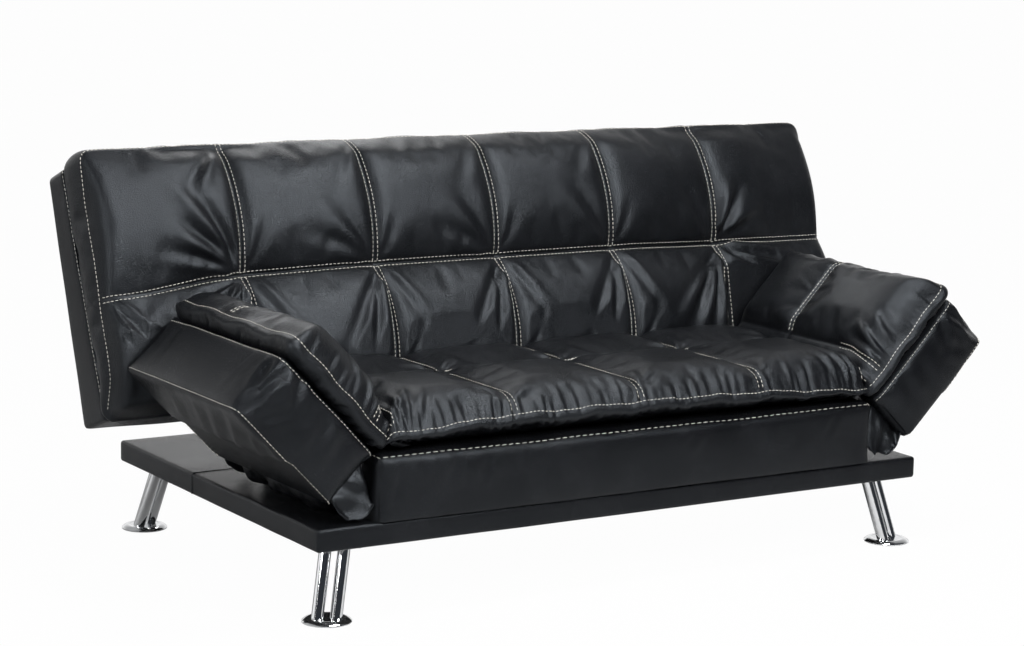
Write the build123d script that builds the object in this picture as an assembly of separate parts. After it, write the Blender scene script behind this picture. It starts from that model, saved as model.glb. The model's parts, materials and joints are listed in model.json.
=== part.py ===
"""Click-clack futon sofa bed: wrapped base board on four splayed twin-tube legs, boxed and padded seat,
folding back and two folding arms.

Millimetres.  X runs along the sofa, the front faces -Y, +Z is up.  The origin is on the floor under the
middle of the base board.  The back and the arms are drawn lying flat, as in the bed, and are then turned
about their hinges into the raised position.
"""
import os
from math import atan2, cos, degrees, hypot, radians, sin

from build123d import *

# ---- base board ---------------------------------------------------------------------------------
base_width = 1500.0
base_depth = 945.0
base_thickness = 47.0
base_top = 198.0
base_corner = 14.0
base_edge = 8.0
wrap = 6.0                      # leather, wadding and facing ply round the timber
end_rail_width = 130.0
long_rail_width = 80.0
cross_rail_width = 60.0
cross_rail_spacing = 420.0
dust_cloth_thickness = 1.0
dust_cloth_inset = 14.0
plate_window_gap = 5.0

# ---- legs ---------------------------------------------------------------------------------------
foot_inset_x = 42.0             # middle of a foot, from the board's end
foot_inset_y = 38.5             # and from its long side
leg_splay_x = 0.233             # outward lean, per unit of height
leg_splay_y = 0.20
tube_diameter = 25.0
tube_wall = 1.5
tube_spacing = 37.0
tube_pair_angle = 25.0          # of the pair, from X
foot_diameter = 100.0
foot_rim = 2.0
foot_height = 8.0
foot_plateau = 64.0
glide_diameter = 84.0
glide_thickness = 2.0
leg_plate_size = 92.0
leg_plate_thickness = 4.0
leg_plate_corner = 12.0
screw_inset = 11.0
screw_shank = 5.0
screw_length = 22.0
screw_head = 9.0
screw_head_height = 2.5

# ---- seat ---------------------------------------------------------------------------------------
seat_half_width = 620.0
seat_front = -476.0
seat_rear = 36.0
seat_height = 131.0             # of the leather box over the base board
seat_corner = 14.0
seat_edge = 8.0
box_wall = 12.0                 # leather, wadding and board, on every upholstered box
deck_thickness = 5.0
seat_rail_height = 100.0
seat_rail_width = 40.0
slat_width = 52.0
slat_thickness = 8.0
slat_rise = 12.0
seat_slat_count = 10
pad_overhang = 4.0
seat_pad_foot_inset = 14.0      # of the seat pad's end where it meets the box
seat_pad_end_inset = 30.0       # of its end seam, so that the raised arm's pad has room
seat_end_height = 55.0          # of the pad's end seams, over the seat box
seat_edge_height = 68.0         # of its front and rear seams
seam_height = 86.0              # of the seams between panels, on the seat and the arms
panel_height = 112.0            # of the panels' middles

# ---- tufting: one grid of panels over seat, back and arms ------------------------------------------
panel_pitch = 308.3
front_row_depth = 304.0         # up to the seam along the seat and across both arms
seat_seam_count = 3
back_seam_count = 5

# ---- back ---------------------------------------------------------------------------------------
back_raise = 70.0               # raised from flat
back_half_width = 925.0
back_length = 553.0
back_foot_thickness = 123.0
back_head_thickness = 82.0
back_foot_round = 20.0
back_head_round = 14.0
back_end_edge = 8.0
back_pad_side_overhang = 7.0
back_pad_head_overhang = 9.0
back_row_seam = 270.0
back_seam_height = 236.0        # of the seams up the back, over its rear face
back_row_height = 224.0         # of the seam along it
back_panel_height = 266.0
back_low_panel_height = 248.0   # in the lower row, which the arms come close to
back_edge_height = 190.0        # of the pad's edge seam
back_foot_height = 160.0        # of its edge seam at the lower end
back_rail_width = 48.0
back_slat_count = 4
back_slat_start = 175.0
back_slat_margin = 32.0         # from the last slat to the back's head

# ---- click-clack mechanism -----------------------------------------------------------------------
pivot_setback = 67.5            # from the seat's rear
pivot_rise = 62.0               # over the seat box
flat_gap = 11.5                 # between the seat's rear and the back's end when flat
flat_clearance = 7.0            # of the back's underside over the base board when flat
hinge_inset = 65.0              # inner face of the seat plate, from the seat's end
hinge_plate = 4.0
hinge_play = 0.5
seat_eye_radius = 36.0
seat_plate_lift = 36.0          # of the plate's foot over the base board
seat_plate_drop = 11.0          # of its top under the seat box's
seat_flange_width = 46.0
ratchet_radius = 24.0
tooth_height = 3.5
tooth_pitch = 10.0              # degrees
tooth_count = 9
tooth_first = 137.0             # direction of the first tooth, back raised, from +Y towards +Z
detent_thickness = 2.5
detent_radius = 31.0
detent_from = 92.0
detent_to = 178.0
detent_nose_angle = 152.0
detent_play = 0.6
pivot_pin_diameter = 12.0
pivot_head_diameter = 21.0
pivot_head_height = 3.0
pin_play = 0.05
back_arm_width = 40.0
back_plate_knee = (110.0, 58.0)  # along the back and up from its rear face
back_plate_end = 222.0
bolt_shank = 7.0
bolt_head = 14.0
bolt_head_height = 3.5
bolt_length = 34.0
slot_depth = 125.0
slot_floor = 25.0
slot_roof = 234.0
slot_side = 2.0
pin_pocket = 1.5

# ---- arms ---------------------------------------------------------------------------------------
arm_raise = 46.0
arm_hinge_gap = 4.0             # of the hinge axis, past the seat's end and over its top
arm_start = 6.0                 # from the hinge axis to the box's inner end
arm_end_gap = 6.0               # of a lowered arm's outer end, short of the back's
arm_thickness = 128.0
arm_edge = 9.0
arm_pad_foot = 12.0             # where the pad starts on the box, from the hinge axis
arm_fold_reach = 36.0           # where its inner seam is
arm_fold_height = 56.0
arm_pad_tip_overhang = 5.0
arm_edge_height = 47.0          # of the pad's outer seams, over the arm box
arm_panel_height = 106.0
arm_rail_width = 38.0
hinge_leaf_thickness = 3.0
hinge_leaf_length = 84.0
hinge_leaf_reach = 86.0
hinge_spread = 300.0            # between the two hinges of an arm
knuckle_radius = 7.0
knuckle_play = 1.0
hinge_pin_diameter = 6.0
hinge_pin_head = 10.0
hinge_pin_head_height = 2.0
gusset_thickness = 4.0
gusset_seat_drop = 94.0
gusset_sag = 24.0
gusset_inset = 14.0
gusset_gap = 0.3

os.makedirs("parts", exist_ok=True)

base_bottom = base_top - base_thickness
foot_x = base_width / 2 - foot_inset_x
foot_y = base_depth / 2 - foot_inset_y
seat_top = base_top + seat_height
seat_middle = (seat_front + seat_rear) / 2
seat_pad_foot = seat_half_width - seat_pad_foot_inset
seat_pad_end = seat_half_width - seat_pad_end_inset
row_seam_y = seat_front + front_row_depth
back_pad_half_width = back_half_width + back_pad_side_overhang
back_pad_length = back_length + back_pad_head_overhang
flat_height = base_top + flat_clearance
hinge_x = seat_half_width - hinge_inset
seat_plate_low = base_top + seat_plate_lift
seat_plate_high = seat_top - seat_plate_drop
pivot_y = seat_rear + pivot_setback
pivot_z = seat_top + pivot_rise
arm_hinge_x = seat_half_width + arm_hinge_gap
arm_hinge_z = seat_top + arm_hinge_gap
arm_length = back_half_width - arm_end_gap - arm_hinge_x
arm_pad_length = arm_length + arm_pad_tip_overhang
pivot_s = pivot_y - seat_rear - flat_gap     # pivot from the back's end, along the back
pivot_n = pivot_z - flat_height              # pivot from the back's rear face
flip = Plane.YZ                              # left and right are mirror images

back_frame_of = Pos(0, pivot_y, pivot_z) * Rot(back_raise, 0, 0) * Pos(0, -pivot_s, -pivot_n)
arm_frame_of = Pos(arm_hinge_x, 0, arm_hinge_z) * Rot(0, -arm_raise, 0)


# ---- helpers ------------------------------------------------------------------------------------
def block(x, y, z):
    """A box between two limits on each axis."""
    size = [high - low for low, high in (x, y, z)]
    middle = [(high + low) / 2 for low, high in (x, y, z)]
    return Pos(*middle) * Box(*size)


def grown(span, amount):
    """Limits moved outwards by an amount, or inwards if it is negative."""
    return (span[0] - amount, span[1] + amount)


def outline(points, radii):
    """A face inside straight runs with a rounded corner at each point."""
    return make_face(FilletPolyline(*points, radius=radii, close=True))


def across_x(face, x):
    """A face drawn in Y and Z, given a length between two X limits."""
    return extrude(Plane.YZ.offset(x[0]) * face, x[1] - x[0])


def across_y(face, y):
    """A face drawn in X and Z, given a length between two Y limits."""
    return extrude(Plane(origin=(0, y[0], 0), x_dir=(1, 0, 0), z_dir=(0, -1, 0)) * face, y[0] - y[1])


def rounded_box(x, y, z, corner, edge):
    """A box with rounded upright corners and softer top and bottom edges."""
    shape = block(x, y, z)
    shape = fillet(shape.edges().filter_by(Axis.Z), corner)
    rims = shape.faces().sort_by(Axis.Z)
    return fillet(rims[0].edges() + rims[-1].edges(), edge)


def rod(start, end, radius):
    """A round bar between two points."""
    start, end = Vector(*start), Vector(*end)
    line = end - start
    return extrude(Plane(origin=start, z_dir=line) * Circle(radius), line.length)


def scalloped(seams, crests, feet):
    """A pad's section: an arc over each panel between its seams, and straight runs round its feet."""
    edge = Polyline(seams[-1], *feet, seams[0])
    for start, end, crest in zip(seams, seams[1:], crests):
        edge += ThreePointArc(start, ((start[0] + end[0]) / 2, crest), end)
    return make_face(edge)


def quilted(length_section, width_section, x, y):
    """A pad swollen between its seams both ways."""
    return across_y(length_section, y) & across_x(width_section, x)


def spaced(count, pitch):
    """Places of a row of copies about zero."""
    return [(i - (count - 1) / 2) * pitch for i in range(count)]


def both(shape):
    """A shape and its mirror image, as left and right."""
    return {"left": mirror(shape, about=flip), "right": shape}


def group(shapes):
    """Separate solids kept together as one sub-part."""
    return Compound(children=[solid for shape in shapes for solid in shape.solids()])


def write(name, shape):
    """Save one sub-part."""
    export_step(shape, f"parts/{name}.step")


# ---- legs: front left one, and its mirror images ----------------------------------------------------
foot_top = glide_thickness + foot_height
leg_rise = base_bottom - leg_plate_thickness - foot_top
plate_x = foot_x - leg_splay_x * leg_rise
plate_y = foot_y - leg_splay_y * leg_rise
plate_bottom = base_bottom - leg_plate_thickness
screw_offset = leg_plate_size / 2 - screw_inset
screw_places = [
    (side_x * plate_x + dx, side_y * plate_y + dy)
    for side_x in (-1, 1)
    for side_y in (-1, 1)
    for dx in (-screw_offset, screw_offset)
    for dy in (-screw_offset, screw_offset)
]


def leg_tubes():
    """Two thin-walled tubes, cut level where they meet the foot and the plate."""
    lean = Vector(leg_splay_x, leg_splay_y, 1)
    pair = Vector(cos(radians(tube_pair_angle)), -sin(radians(tube_pair_angle)), 0)
    window = block(
        (-foot_x - foot_diameter, 0), (-foot_y - foot_diameter, 0), (foot_top, plate_bottom)
    )
    tubes = []
    for place in spaced(2, tube_spacing):
        foot = Vector(-foot_x, -foot_y, foot_top) + pair * place
        start, end = foot - lean * tube_diameter, foot + lean * (leg_rise + tube_diameter)
        bar = rod(start, end, tube_diameter / 2)
        bore = rod(start, end, tube_diameter / 2 - tube_wall)
        tubes.append((bar - bore) & window)
    return group(tubes)


def leg_foot():
    """A low domed disc with a flat middle."""
    edge = foot_diameter / 2
    rim = (edge, glide_thickness + foot_rim)
    crown = (foot_plateau / 2, foot_top)
    bulge = ((rim[0] + crown[0]) / 2 + foot_rim, (rim[1] + crown[1]) / 2 + foot_rim)
    profile = make_face(
        Polyline(crown, (0, foot_top), (0, glide_thickness), (edge, glide_thickness), rim)
        + ThreePointArc(rim, bulge, crown)
    )
    return Pos(-foot_x, -foot_y, 0) * revolve(Plane.XZ * profile, Axis.Z)


def leg_plate():
    """A square steel plate with rounded corners and four screw holes."""
    plate = extrude(RectangleRounded(leg_plate_size, leg_plate_size, leg_plate_corner), leg_plate_thickness)
    hole = Cylinder(screw_shank / 2, 3 * leg_plate_thickness)
    for dx in (-screw_offset, screw_offset):
        for dy in (-screw_offset, screw_offset):
            plate -= Pos(dx, dy, 0) * hole
    return Pos(-plate_x, -plate_y, plate_bottom) * plate


def four(shape):
    """The front left shape and its copies at the other three corners."""
    front = {"front_left": shape, "front_right": mirror(shape, about=Plane.YZ)}
    rear = {name.replace("front", "rear"): mirror(leg, about=Plane.XZ) for name, leg in front.items()}
    return {**front, **rear}


for part_name, maker in (("leg_tubes", leg_tubes), ("leg_foot", leg_foot), ("leg_plate", leg_plate)):
    for corner_name, leg_part in four(maker()).items():
        write(f"{part_name}_{corner_name}", leg_part)

glide = Cylinder(glide_diameter / 2, glide_thickness, align=(Align.CENTER, Align.CENTER, Align.MIN))
write("foot_glides", group([
    Pos(side_x * foot_x, side_y * foot_y, 0) * glide for side_x in (-1, 1) for side_y in (-1, 1)
]))

screw = Pos(0, 0, plate_bottom) * (
    Cylinder(screw_shank / 2, screw_length, align=(Align.CENTER, Align.CENTER, Align.MIN))
    + Cylinder(screw_head / 2, screw_head_height, align=(Align.CENTER, Align.CENTER, Align.MAX))
)
write("leg_screws", group([Pos(x, y, 0) * screw for x, y in screw_places]))
pilot = Pos(0, 0, plate_bottom) * Cylinder(
    screw_shank / 2, screw_length, align=(Align.CENTER, Align.CENTER, Align.MIN)
)
pilots = [Pos(x, y, 0) * pilot for x, y in screw_places]

# ---- base board ---------------------------------------------------------------------------------
base_x = (-base_width / 2, base_width / 2)
base_y = (-base_depth / 2, base_depth / 2)
base_z = (base_bottom, base_top)
core_x, core_y, core_z = (grown(span, -wrap) for span in (base_x, base_y, base_z))
base_core = block(core_x, core_y, core_z)
write("base_board", rounded_box(base_x, base_y, base_z, base_corner, base_edge) - base_core - pilots)

rails = [block(core_x, end, core_z) for end in (
    (core_y[0], core_y[0] + long_rail_width), (core_y[1] - long_rail_width, core_y[1]))]
rails += [block(end, core_y, core_z) for end in (
    (core_x[0], core_x[0] + end_rail_width), (core_x[1] - end_rail_width, core_x[1]))]
rails += [
    block(grown((x, x), cross_rail_width / 2), core_y, core_z) for x in spaced(2, cross_rail_spacing)
]
base_frame = rails[0]
for rail in rails[1:]:
    base_frame += rail
write("base_frame", base_frame - pilots)

dust_cloth = block(
    grown(base_x, -dust_cloth_inset), grown(base_y, -dust_cloth_inset),
    (base_bottom - dust_cloth_thickness, base_bottom),
)
window_size = leg_plate_size + 2 * plate_window_gap
window_corner = leg_plate_corner + plate_window_gap
plate_window = extrude(RectangleRounded(window_size, window_size, window_corner), base_bottom)
for side_x in (-1, 1):
    for side_y in (-1, 1):
        dust_cloth -= Pos(side_x * plate_x, side_y * plate_y, dust_cloth_thickness) * plate_window
write("dust_cloth", dust_cloth)

# ---- seat ---------------------------------------------------------------------------------------
seat_x = (-seat_half_width, seat_half_width)
seat_y = (seat_front, seat_rear)
seat_box = block(seat_x, seat_y, (base_top, seat_top))
seat_box = fillet(seat_box.edges().filter_by(Axis.Z), seat_corner)
seat_box = fillet(seat_box.faces().sort_by(Axis.Z)[-1].edges(), seat_edge)
seat_core_x, seat_core_y = grown(seat_x, -box_wall), grown(seat_y, -box_wall)
seat_box -= block(seat_core_x, seat_core_y, (base_top, seat_top - deck_thickness))

rail_z = (base_top, base_top + seat_rail_height)
seat_frame = block(seat_core_x, seat_core_y, rail_z) - block(
    grown(seat_core_x, -seat_rail_width), grown(seat_core_y, -seat_rail_width), rail_z
)
for x in spaced(2, cross_rail_spacing):
    seat_frame += block(grown((x, x), seat_rail_width / 2), seat_core_y, rail_z)


def bowed_slat(y, z, rise):
    """A sprung slat between two limits in Y, bowed up in the middle."""
    middle = (y[0] + y[1]) / 2
    top = z + slat_thickness
    under = ThreePointArc((y[0], z), (middle, z + rise), (y[1], z))
    over = ThreePointArc((y[1], top), (middle, top + rise), (y[0], top))
    ends = Line((y[1], z), (y[1], top)) + Line((y[0], top), (y[0], z))
    return across_x(make_face(under + over + ends), (-slat_width / 2, slat_width / 2))


slat_pitch = (seat_core_x[1] - seat_core_x[0]) / seat_slat_count
seat_slat = bowed_slat(seat_core_y, rail_z[1], slat_rise)
write("seat_slats", group([Pos(x, 0, 0) * seat_slat for x in spaced(seat_slat_count, slat_pitch)]))

pad_y = (seat_front - pad_overhang, seat_rear)
seat_ends = [(-seat_pad_end, seat_end_height), (seat_pad_end, seat_end_height)]
seat_seams = [(x, seam_height) for x in spaced(seat_seam_count, panel_pitch)]
seat_pad = quilted(
    scalloped(
        [seat_ends[0], *seat_seams, seat_ends[1]], [panel_height] * (seat_seam_count + 1),
        [(seat_pad_foot, 0), (-seat_pad_foot, 0)],
    ),
    scalloped(
        [(pad_y[0], seat_edge_height), (row_seam_y, seam_height), (pad_y[1], seat_edge_height)],
        [panel_height, panel_height], [(pad_y[1], 0), (pad_y[0], 0)],
    ),
    (-seat_pad_foot, seat_pad_foot), pad_y,
)
write("seat_pad", Pos(0, 0, seat_top) * seat_pad)

# ---- back, drawn flat: x, distance from its lower end, height over its rear face --------------------
back_x = (-back_half_width, back_half_width)
taper = (back_foot_thickness - back_head_thickness) / back_length
back_profile = outline(
    [(0, 0), (back_length, 0), (back_length, back_head_thickness), (0, back_foot_thickness)],
    [back_foot_round, back_head_round, back_head_round / 2, back_head_round / 2],
)
back_shell = across_x(back_profile, back_x)
back_shell = fillet(back_shell.faces().filter_by(Axis.X).edges(), back_end_edge / 2)
wall_slant = box_wall * hypot(1, taper)
back_core = across_x(
    outline(
        [
            (box_wall, box_wall), (back_length - box_wall, box_wall),
            (back_length - box_wall, back_head_thickness + taper * box_wall - wall_slant),
            (box_wall, back_foot_thickness - taper * box_wall - wall_slant),
        ],
        [back_foot_round - box_wall, 0, 0, 0],
    ),
    grown(back_x, -box_wall),
)
play_x = hinge_x + 2 * hinge_plate + hinge_play       # outer face of the back plate
slot_s, slot_n = (-slot_depth, slot_depth), (slot_floor, slot_roof)
hinge_slot = block((hinge_x - slot_side, play_x), slot_s, slot_n)
pad_slot = block((hinge_x - slot_side, play_x + slot_side), slot_s, slot_n)
head_room = pivot_head_height + pin_pocket
pin_space = across_x(
    Pos(pivot_s, pivot_n) * Circle(pivot_head_diameter / 2 + pin_pocket),
    (hinge_x - head_room, play_x + head_room),
)
hinge_slots = list(both(hinge_slot).values())
pad_slots = list(both(pad_slot).values()) + list(both(pin_space).values())

upright_x = (play_x, play_x + seat_rail_width)
rail_n = (0, back_foot_thickness)
rail_spans = [(0, box_wall + back_rail_width), (back_length - box_wall - back_rail_width, back_length)]
members = [block(back_x, span, rail_n) for span in rail_spans]
end_x = (back_half_width - box_wall - back_rail_width, back_half_width)
for span in (end_x, upright_x, grown((0, 0), seat_rail_width / 2)):
    members += list(both(block(span, (0, back_length), rail_n)).values())
back_frame = members[0]
for member in members[1:]:
    back_frame += member
back_frame &= back_core

slat_plane = Pos(0, 0, back_foot_thickness - wall_slant) * Rot(-degrees(atan2(taper, 1)), 0, 0)
slat_reach = grown(back_x, -box_wall)
slat_run = back_length - back_slat_margin - slat_width - back_slat_start
slat_starts = [back_slat_start + i * slat_run / (back_slat_count - 1) for i in range(back_slat_count)]
back_slats = [
    slat_plane * block(slat_reach, (start, start + slat_width), (-slat_thickness, 0)) for start in slat_starts
]


def bolt(direction):
    """A bolt along X through a hinge plate: its head stands on the plate's free face at x = 0."""
    shank = rod((0, 0, 0), (direction * bolt_length, 0, 0), bolt_shank / 2)
    return shank + rod((0, 0, 0), (-direction * bolt_head_height, 0, 0), bolt_head / 2)


back_bolt_x = hinge_x + hinge_plate + hinge_play      # free face of the back plate
bolt_row = [slot_depth + bolt_head, back_plate_end - bolt_head]
back_bolt_places = [Pos(back_bolt_x, s, back_plate_knee[1]) for s in bolt_row]
back_bolts = [place * bolt(1) for place in back_bolt_places]
bolt_bores = [place * rod((0, 0, 0), (bolt_length, 0, 0), bolt_shank / 2) for place in back_bolt_places]
both_bores = [side for bore in bolt_bores for side in both(bore).values()]
write("back_bolts", back_frame_of * group([side for b in back_bolts for side in both(b).values()]))
write("back_slats", back_frame_of * group(back_slats))
write("back_frame", back_frame_of * (back_frame - back_slats - hinge_slots - both_bores))
write("back_box", back_frame_of * (back_shell - back_core - hinge_slots))

back_ends = [(-back_pad_half_width, back_edge_height), (back_pad_half_width, back_edge_height)]
back_seams = [(x, back_seam_height) for x in spaced(back_seam_count, panel_pitch)]
back_pad = quilted(
    scalloped(
        [back_ends[0], *back_seams, back_ends[1]], [back_panel_height] * (back_seam_count + 1),
        [(back_pad_half_width, 0), (-back_pad_half_width, 0)],
    ),
    scalloped(
        [(0, back_foot_height), (back_row_seam, back_row_height), (back_pad_length, back_edge_height)],
        [back_low_panel_height, back_panel_height],
        [
            (back_pad_length, back_head_thickness + back_head_round),
            (back_length, back_head_thickness), (0, back_foot_thickness),
        ],
    ),
    (-back_pad_half_width, back_pad_half_width), (0, back_pad_length),
)
write("back_pad", back_frame_of * (back_pad - pad_slots))


# ---- click-clack mechanism -----------------------------------------------------------------------
def polar(centre, radius, angle):
    """A point at a radius and an angle in degrees about a centre."""
    return (centre[0] + radius * cos(radians(angle)), centre[1] + radius * sin(radians(angle)))


def hull_between(circles):
    """The straight-sided web that joins two circles, each given as a centre and a radius."""
    (first, r1), (second, r2) = circles
    run = hypot(second[0] - first[0], second[1] - first[1])
    heading = degrees(atan2(second[1] - first[1], second[0] - first[0]))
    spread = degrees(atan2((run * run - (r1 - r2) ** 2) ** 0.5, r1 - r2))
    corners = [
        polar(first, r1, heading + spread), polar(second, r2, heading + spread),
        polar(second, r2, heading - spread), polar(first, r1, heading - spread),
    ]
    web = make_face(Polyline(*corners, close=True))
    return web + Pos(*first) * Circle(r1) + Pos(*second) * Circle(r2)


pivot = (pivot_y, pivot_z)
seat_plane_x = (hinge_x, hinge_x + hinge_plate)
back_plane_x = (hinge_x + hinge_plate + hinge_play, play_x)
flange_y = (seat_rear, seat_rear + hinge_plate)
pin_radius = pivot_pin_diameter / 2
rivet_radius = detent_thickness
nose_root = detent_radius + detent_thickness / 2
rivet_angles = (detent_from + tooth_pitch, detent_to - tooth_pitch)

heel = seat_rear + hinge_plate + seat_eye_radius / 2
web_heights = (seat_plate_low + seat_eye_radius / 2, seat_plate_high - seat_eye_radius / 2)
web_ends = [((heel, z), seat_eye_radius / 2) for z in web_heights]
seat_plate_face = hull_between([web_ends[0], (pivot, seat_eye_radius)])
seat_plate_face += hull_between([web_ends[1], (pivot, seat_eye_radius)])
seat_plate_face += Pos((heel + seat_rear) / 2, (seat_plate_low + seat_plate_high) / 2) * Rectangle(
    heel - seat_rear, seat_plate_high - seat_plate_low
)
relief = ((pivot[0] + heel) / 2 - seat_eye_radius / 4, (pivot[1] + web_ends[1][0][1]) / 2 - seat_eye_radius)
seat_plate_face -= Pos(*relief) * Circle(seat_eye_radius / 3)
seat_plate = across_x(seat_plate_face, seat_plane_x)
flange_x = (seat_plane_x[1] - seat_flange_width, seat_plane_x[1])
seat_plate += block(flange_x, flange_y, (seat_plate_low, seat_plate_high))
seat_plate -= across_x(Pos(*pivot) * Circle(pin_radius + pin_play), seat_plane_x)
rivet_x = (seat_plane_x[0], back_plane_x[1])
rivets = [
    across_x(Pos(*polar(pivot, nose_root, angle)) * Circle(rivet_radius), rivet_x) for angle in rivet_angles
]
seat_plate -= rivets

seat_bolt_x = seat_plane_x[1] - seat_flange_width / 2 - hinge_plate / 2
seat_bolt_places = [
    Pos(seat_bolt_x, flange_y[1], z) * Rot(0, 0, -90)
    for z in (seat_plate_low + bolt_head, rail_z[1] - bolt_head)
]
seat_bores = [
    side for place in seat_bolt_places
    for side in both(place * rod((0, 0, 0), (bolt_length, 0, 0), bolt_shank / 2)).values()
]
seat_bolts = [side for place in seat_bolt_places for side in both(place * bolt(1)).values()]
write("seat_bolts", group(seat_bolts))
for side, plate in both(seat_plate).items():
    write(f"click_seat_plate_{side}", plate - seat_bores)


def ratchet_face():
    """The back plate's toothed eye: slanted teeth that a sprung nose drops behind."""
    eye = Circle(ratchet_radius)
    for i in range(tooth_count):
        angle = tooth_first + i * tooth_pitch
        eye += make_face(Polyline(
            polar((0, 0), ratchet_radius - tooth_height, angle),
            polar((0, 0), ratchet_radius + tooth_height, angle),
            polar((0, 0), ratchet_radius - tooth_height, angle + tooth_pitch),
            close=True,
        ))
    return eye


arm_stops = [(pivot_s, pivot_n), back_plate_knee, (back_plate_end - back_arm_width / 2, back_plate_knee[1])]
arm_circles = [(stop, back_arm_width / 2) for stop in arm_stops]
back_plate_face = hull_between(arm_circles[:2]) + hull_between(arm_circles[1:])
back_plate_face += Pos(pivot_s, pivot_n) * Rot(0, 0, -back_raise) * ratchet_face()
back_plate = across_x(back_plate_face, back_plane_x)
back_plate -= across_x(Pos(pivot_s, pivot_n) * Circle(pin_radius + pin_play), back_plane_x)
for side, plate in both(back_plate).items():
    write(f"click_back_plate_{side}", back_frame_of * (plate - both_bores))


def arc_band(centre, radius, thickness, start, end):
    """A curved strip about a centre, between two angles."""
    inner, outer = radius - thickness / 2, radius + thickness / 2
    middle = (start + end) / 2
    near, far = ([polar(centre, reach, angle) for angle in (start, middle, end)] for reach in (inner, outer))
    edges = ThreePointArc(*near) + Line(near[2], far[2]) + ThreePointArc(*far) + Line(far[0], near[0])
    return make_face(edges)


nose_reach = ratchet_radius + tooth_height + detent_play
nose = make_face(Polyline(
    polar(pivot, nose_root, detent_nose_angle - tooth_pitch / 2),
    polar(pivot, nose_reach, detent_nose_angle),
    polar(pivot, nose_root, detent_nose_angle + tooth_pitch / 2),
    close=True,
))
detent_face = arc_band(pivot, nose_root, detent_thickness, detent_from, detent_to) + nose
for angle in rivet_angles:
    detent_face += Pos(*polar(pivot, nose_root, angle)) * Circle(rivet_radius)
detent = across_x(detent_face, back_plane_x)
for rivet in rivets:
    detent += rivet
for side, spring in both(detent).items():
    write(f"click_detent_{side}", spring)

pivot_pin = rod((hinge_x, *pivot), (play_x, *pivot), pin_radius)
for x, way in ((hinge_x, -1), (play_x, 1)):
    pivot_pin += rod((x, *pivot), (x + way * pivot_head_height, *pivot), pivot_head_diameter / 2)
for side, pin in both(pivot_pin).items():
    write(f"click_pin_{side}", pin)

# ---- arm hinges: butt hinges whose barrel is on the top edge between seat and arm -------------------
hinge_middles = [seat_middle + y for y in spaced(2, hinge_spread)]
knuckle_length = hinge_leaf_length / 3
leaf_gap = arm_start - hinge_leaf_thickness           # from the axis to the arm leaf


def knuckles(middle, outer):
    """The outer two knuckles of a barrel, or its middle one, about the hinge axis."""
    edges = [middle - hinge_leaf_length / 2 + i * knuckle_length for i in range(4)]
    spans = [(edges[0], edges[1]), (edges[2], edges[3])] if outer else [(edges[1], edges[2])]
    return [grown(span, -knuckle_play / 2) for span in spans]


def leaf(x, middle, outer):
    """One hinge leaf: a plate below the barrel, tabs up to it and its knuckles, bored for the pin."""
    tab_top = -knuckle_radius - knuckle_play
    plate = block(x, grown((middle, middle), hinge_leaf_length / 2), (-hinge_leaf_reach, tab_top))
    for span in knuckles(middle, outer):
        plate += block(x, span, (tab_top, 0)) + rod((0, span[0], 0), (0, span[1], 0), knuckle_radius)
    low, high = grown((middle, middle), hinge_leaf_length)
    return plate - rod((0, low, 0), (0, high, 0), hinge_pin_diameter / 2 + pin_play)


def hinge_pin(middle):
    """A headed pin through the whole barrel."""
    low, high = grown((middle, middle), hinge_leaf_length / 2)
    pin = rod((0, low, 0), (0, high, 0), hinge_pin_diameter / 2)
    for y, way in ((low, -1), (high, 1)):
        pin += rod((0, y, 0), (0, y + way * hinge_pin_head_height, 0), hinge_pin_head / 2)
    return pin


seat_leaf_x = (seat_half_width - arm_hinge_x, seat_half_width - arm_hinge_x + hinge_leaf_thickness)
arm_leaf_x = (leaf_gap, arm_start)
on_axis = Pos(arm_hinge_x, 0, arm_hinge_z)
for side, leaves in both(on_axis * group([leaf(seat_leaf_x, y, True) for y in hinge_middles])).items():
    write(f"arm_seat_leaves_{side}", leaves)
for side, pins in both(on_axis * group([hinge_pin(y) for y in hinge_middles])).items():
    write(f"arm_hinge_pins_{side}", pins)
for side, leaves in both(arm_frame_of * group([leaf(arm_leaf_x, y, False) for y in hinge_middles])).items():
    write(f"arm_leaves_{side}", leaves)

# ---- arms, drawn flat: distance from the hinge axis, y, height over the hinge axis ------------------
arm_x = (arm_start, arm_length)
arm_z = (-arm_thickness, 0)
arm_section = [(arm_x[0], arm_z[0]), (arm_x[1], arm_z[0]), (arm_x[1], 0), (arm_x[0], 0)]
arm_shell = across_y(outline(arm_section, [arm_edge] * 4), seat_y)
arm_shell = fillet(arm_shell.faces().filter_by(Axis.Y).edges(), arm_edge / 2)
arm_core_spans = [grown(span, -box_wall) for span in (arm_x, seat_y, arm_z)]
arm_core = block(*arm_core_spans)
arm_frame = arm_core - block(
    *(grown(span, -arm_rail_width) for span in arm_core_spans[:2]), arm_core_spans[2]
)
arm_frame += block(
    arm_core_spans[0], grown((seat_middle, seat_middle), arm_rail_width / 2), arm_core_spans[2]
)
arm_pad = quilted(
    scalloped(
        [(arm_fold_reach, arm_fold_height), (arm_pad_length, arm_edge_height)], [arm_panel_height],
        [(arm_pad_length, 0), (arm_pad_foot, 0)],
    ),
    scalloped(
        [(pad_y[0], arm_edge_height), (row_seam_y, seam_height), (pad_y[1], arm_edge_height)],
        [arm_panel_height, arm_panel_height], [(pad_y[1], 0), (pad_y[0], 0)],
    ),
    (arm_pad_foot, arm_pad_length), pad_y,
)
for name, shape in (("arm_box", arm_shell - arm_core), ("arm_frame", arm_frame), ("arm_pad", arm_pad)):
    for side, piece in both(arm_frame_of * shape).items():
        write(f"{name}_{side}", piece)

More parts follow.
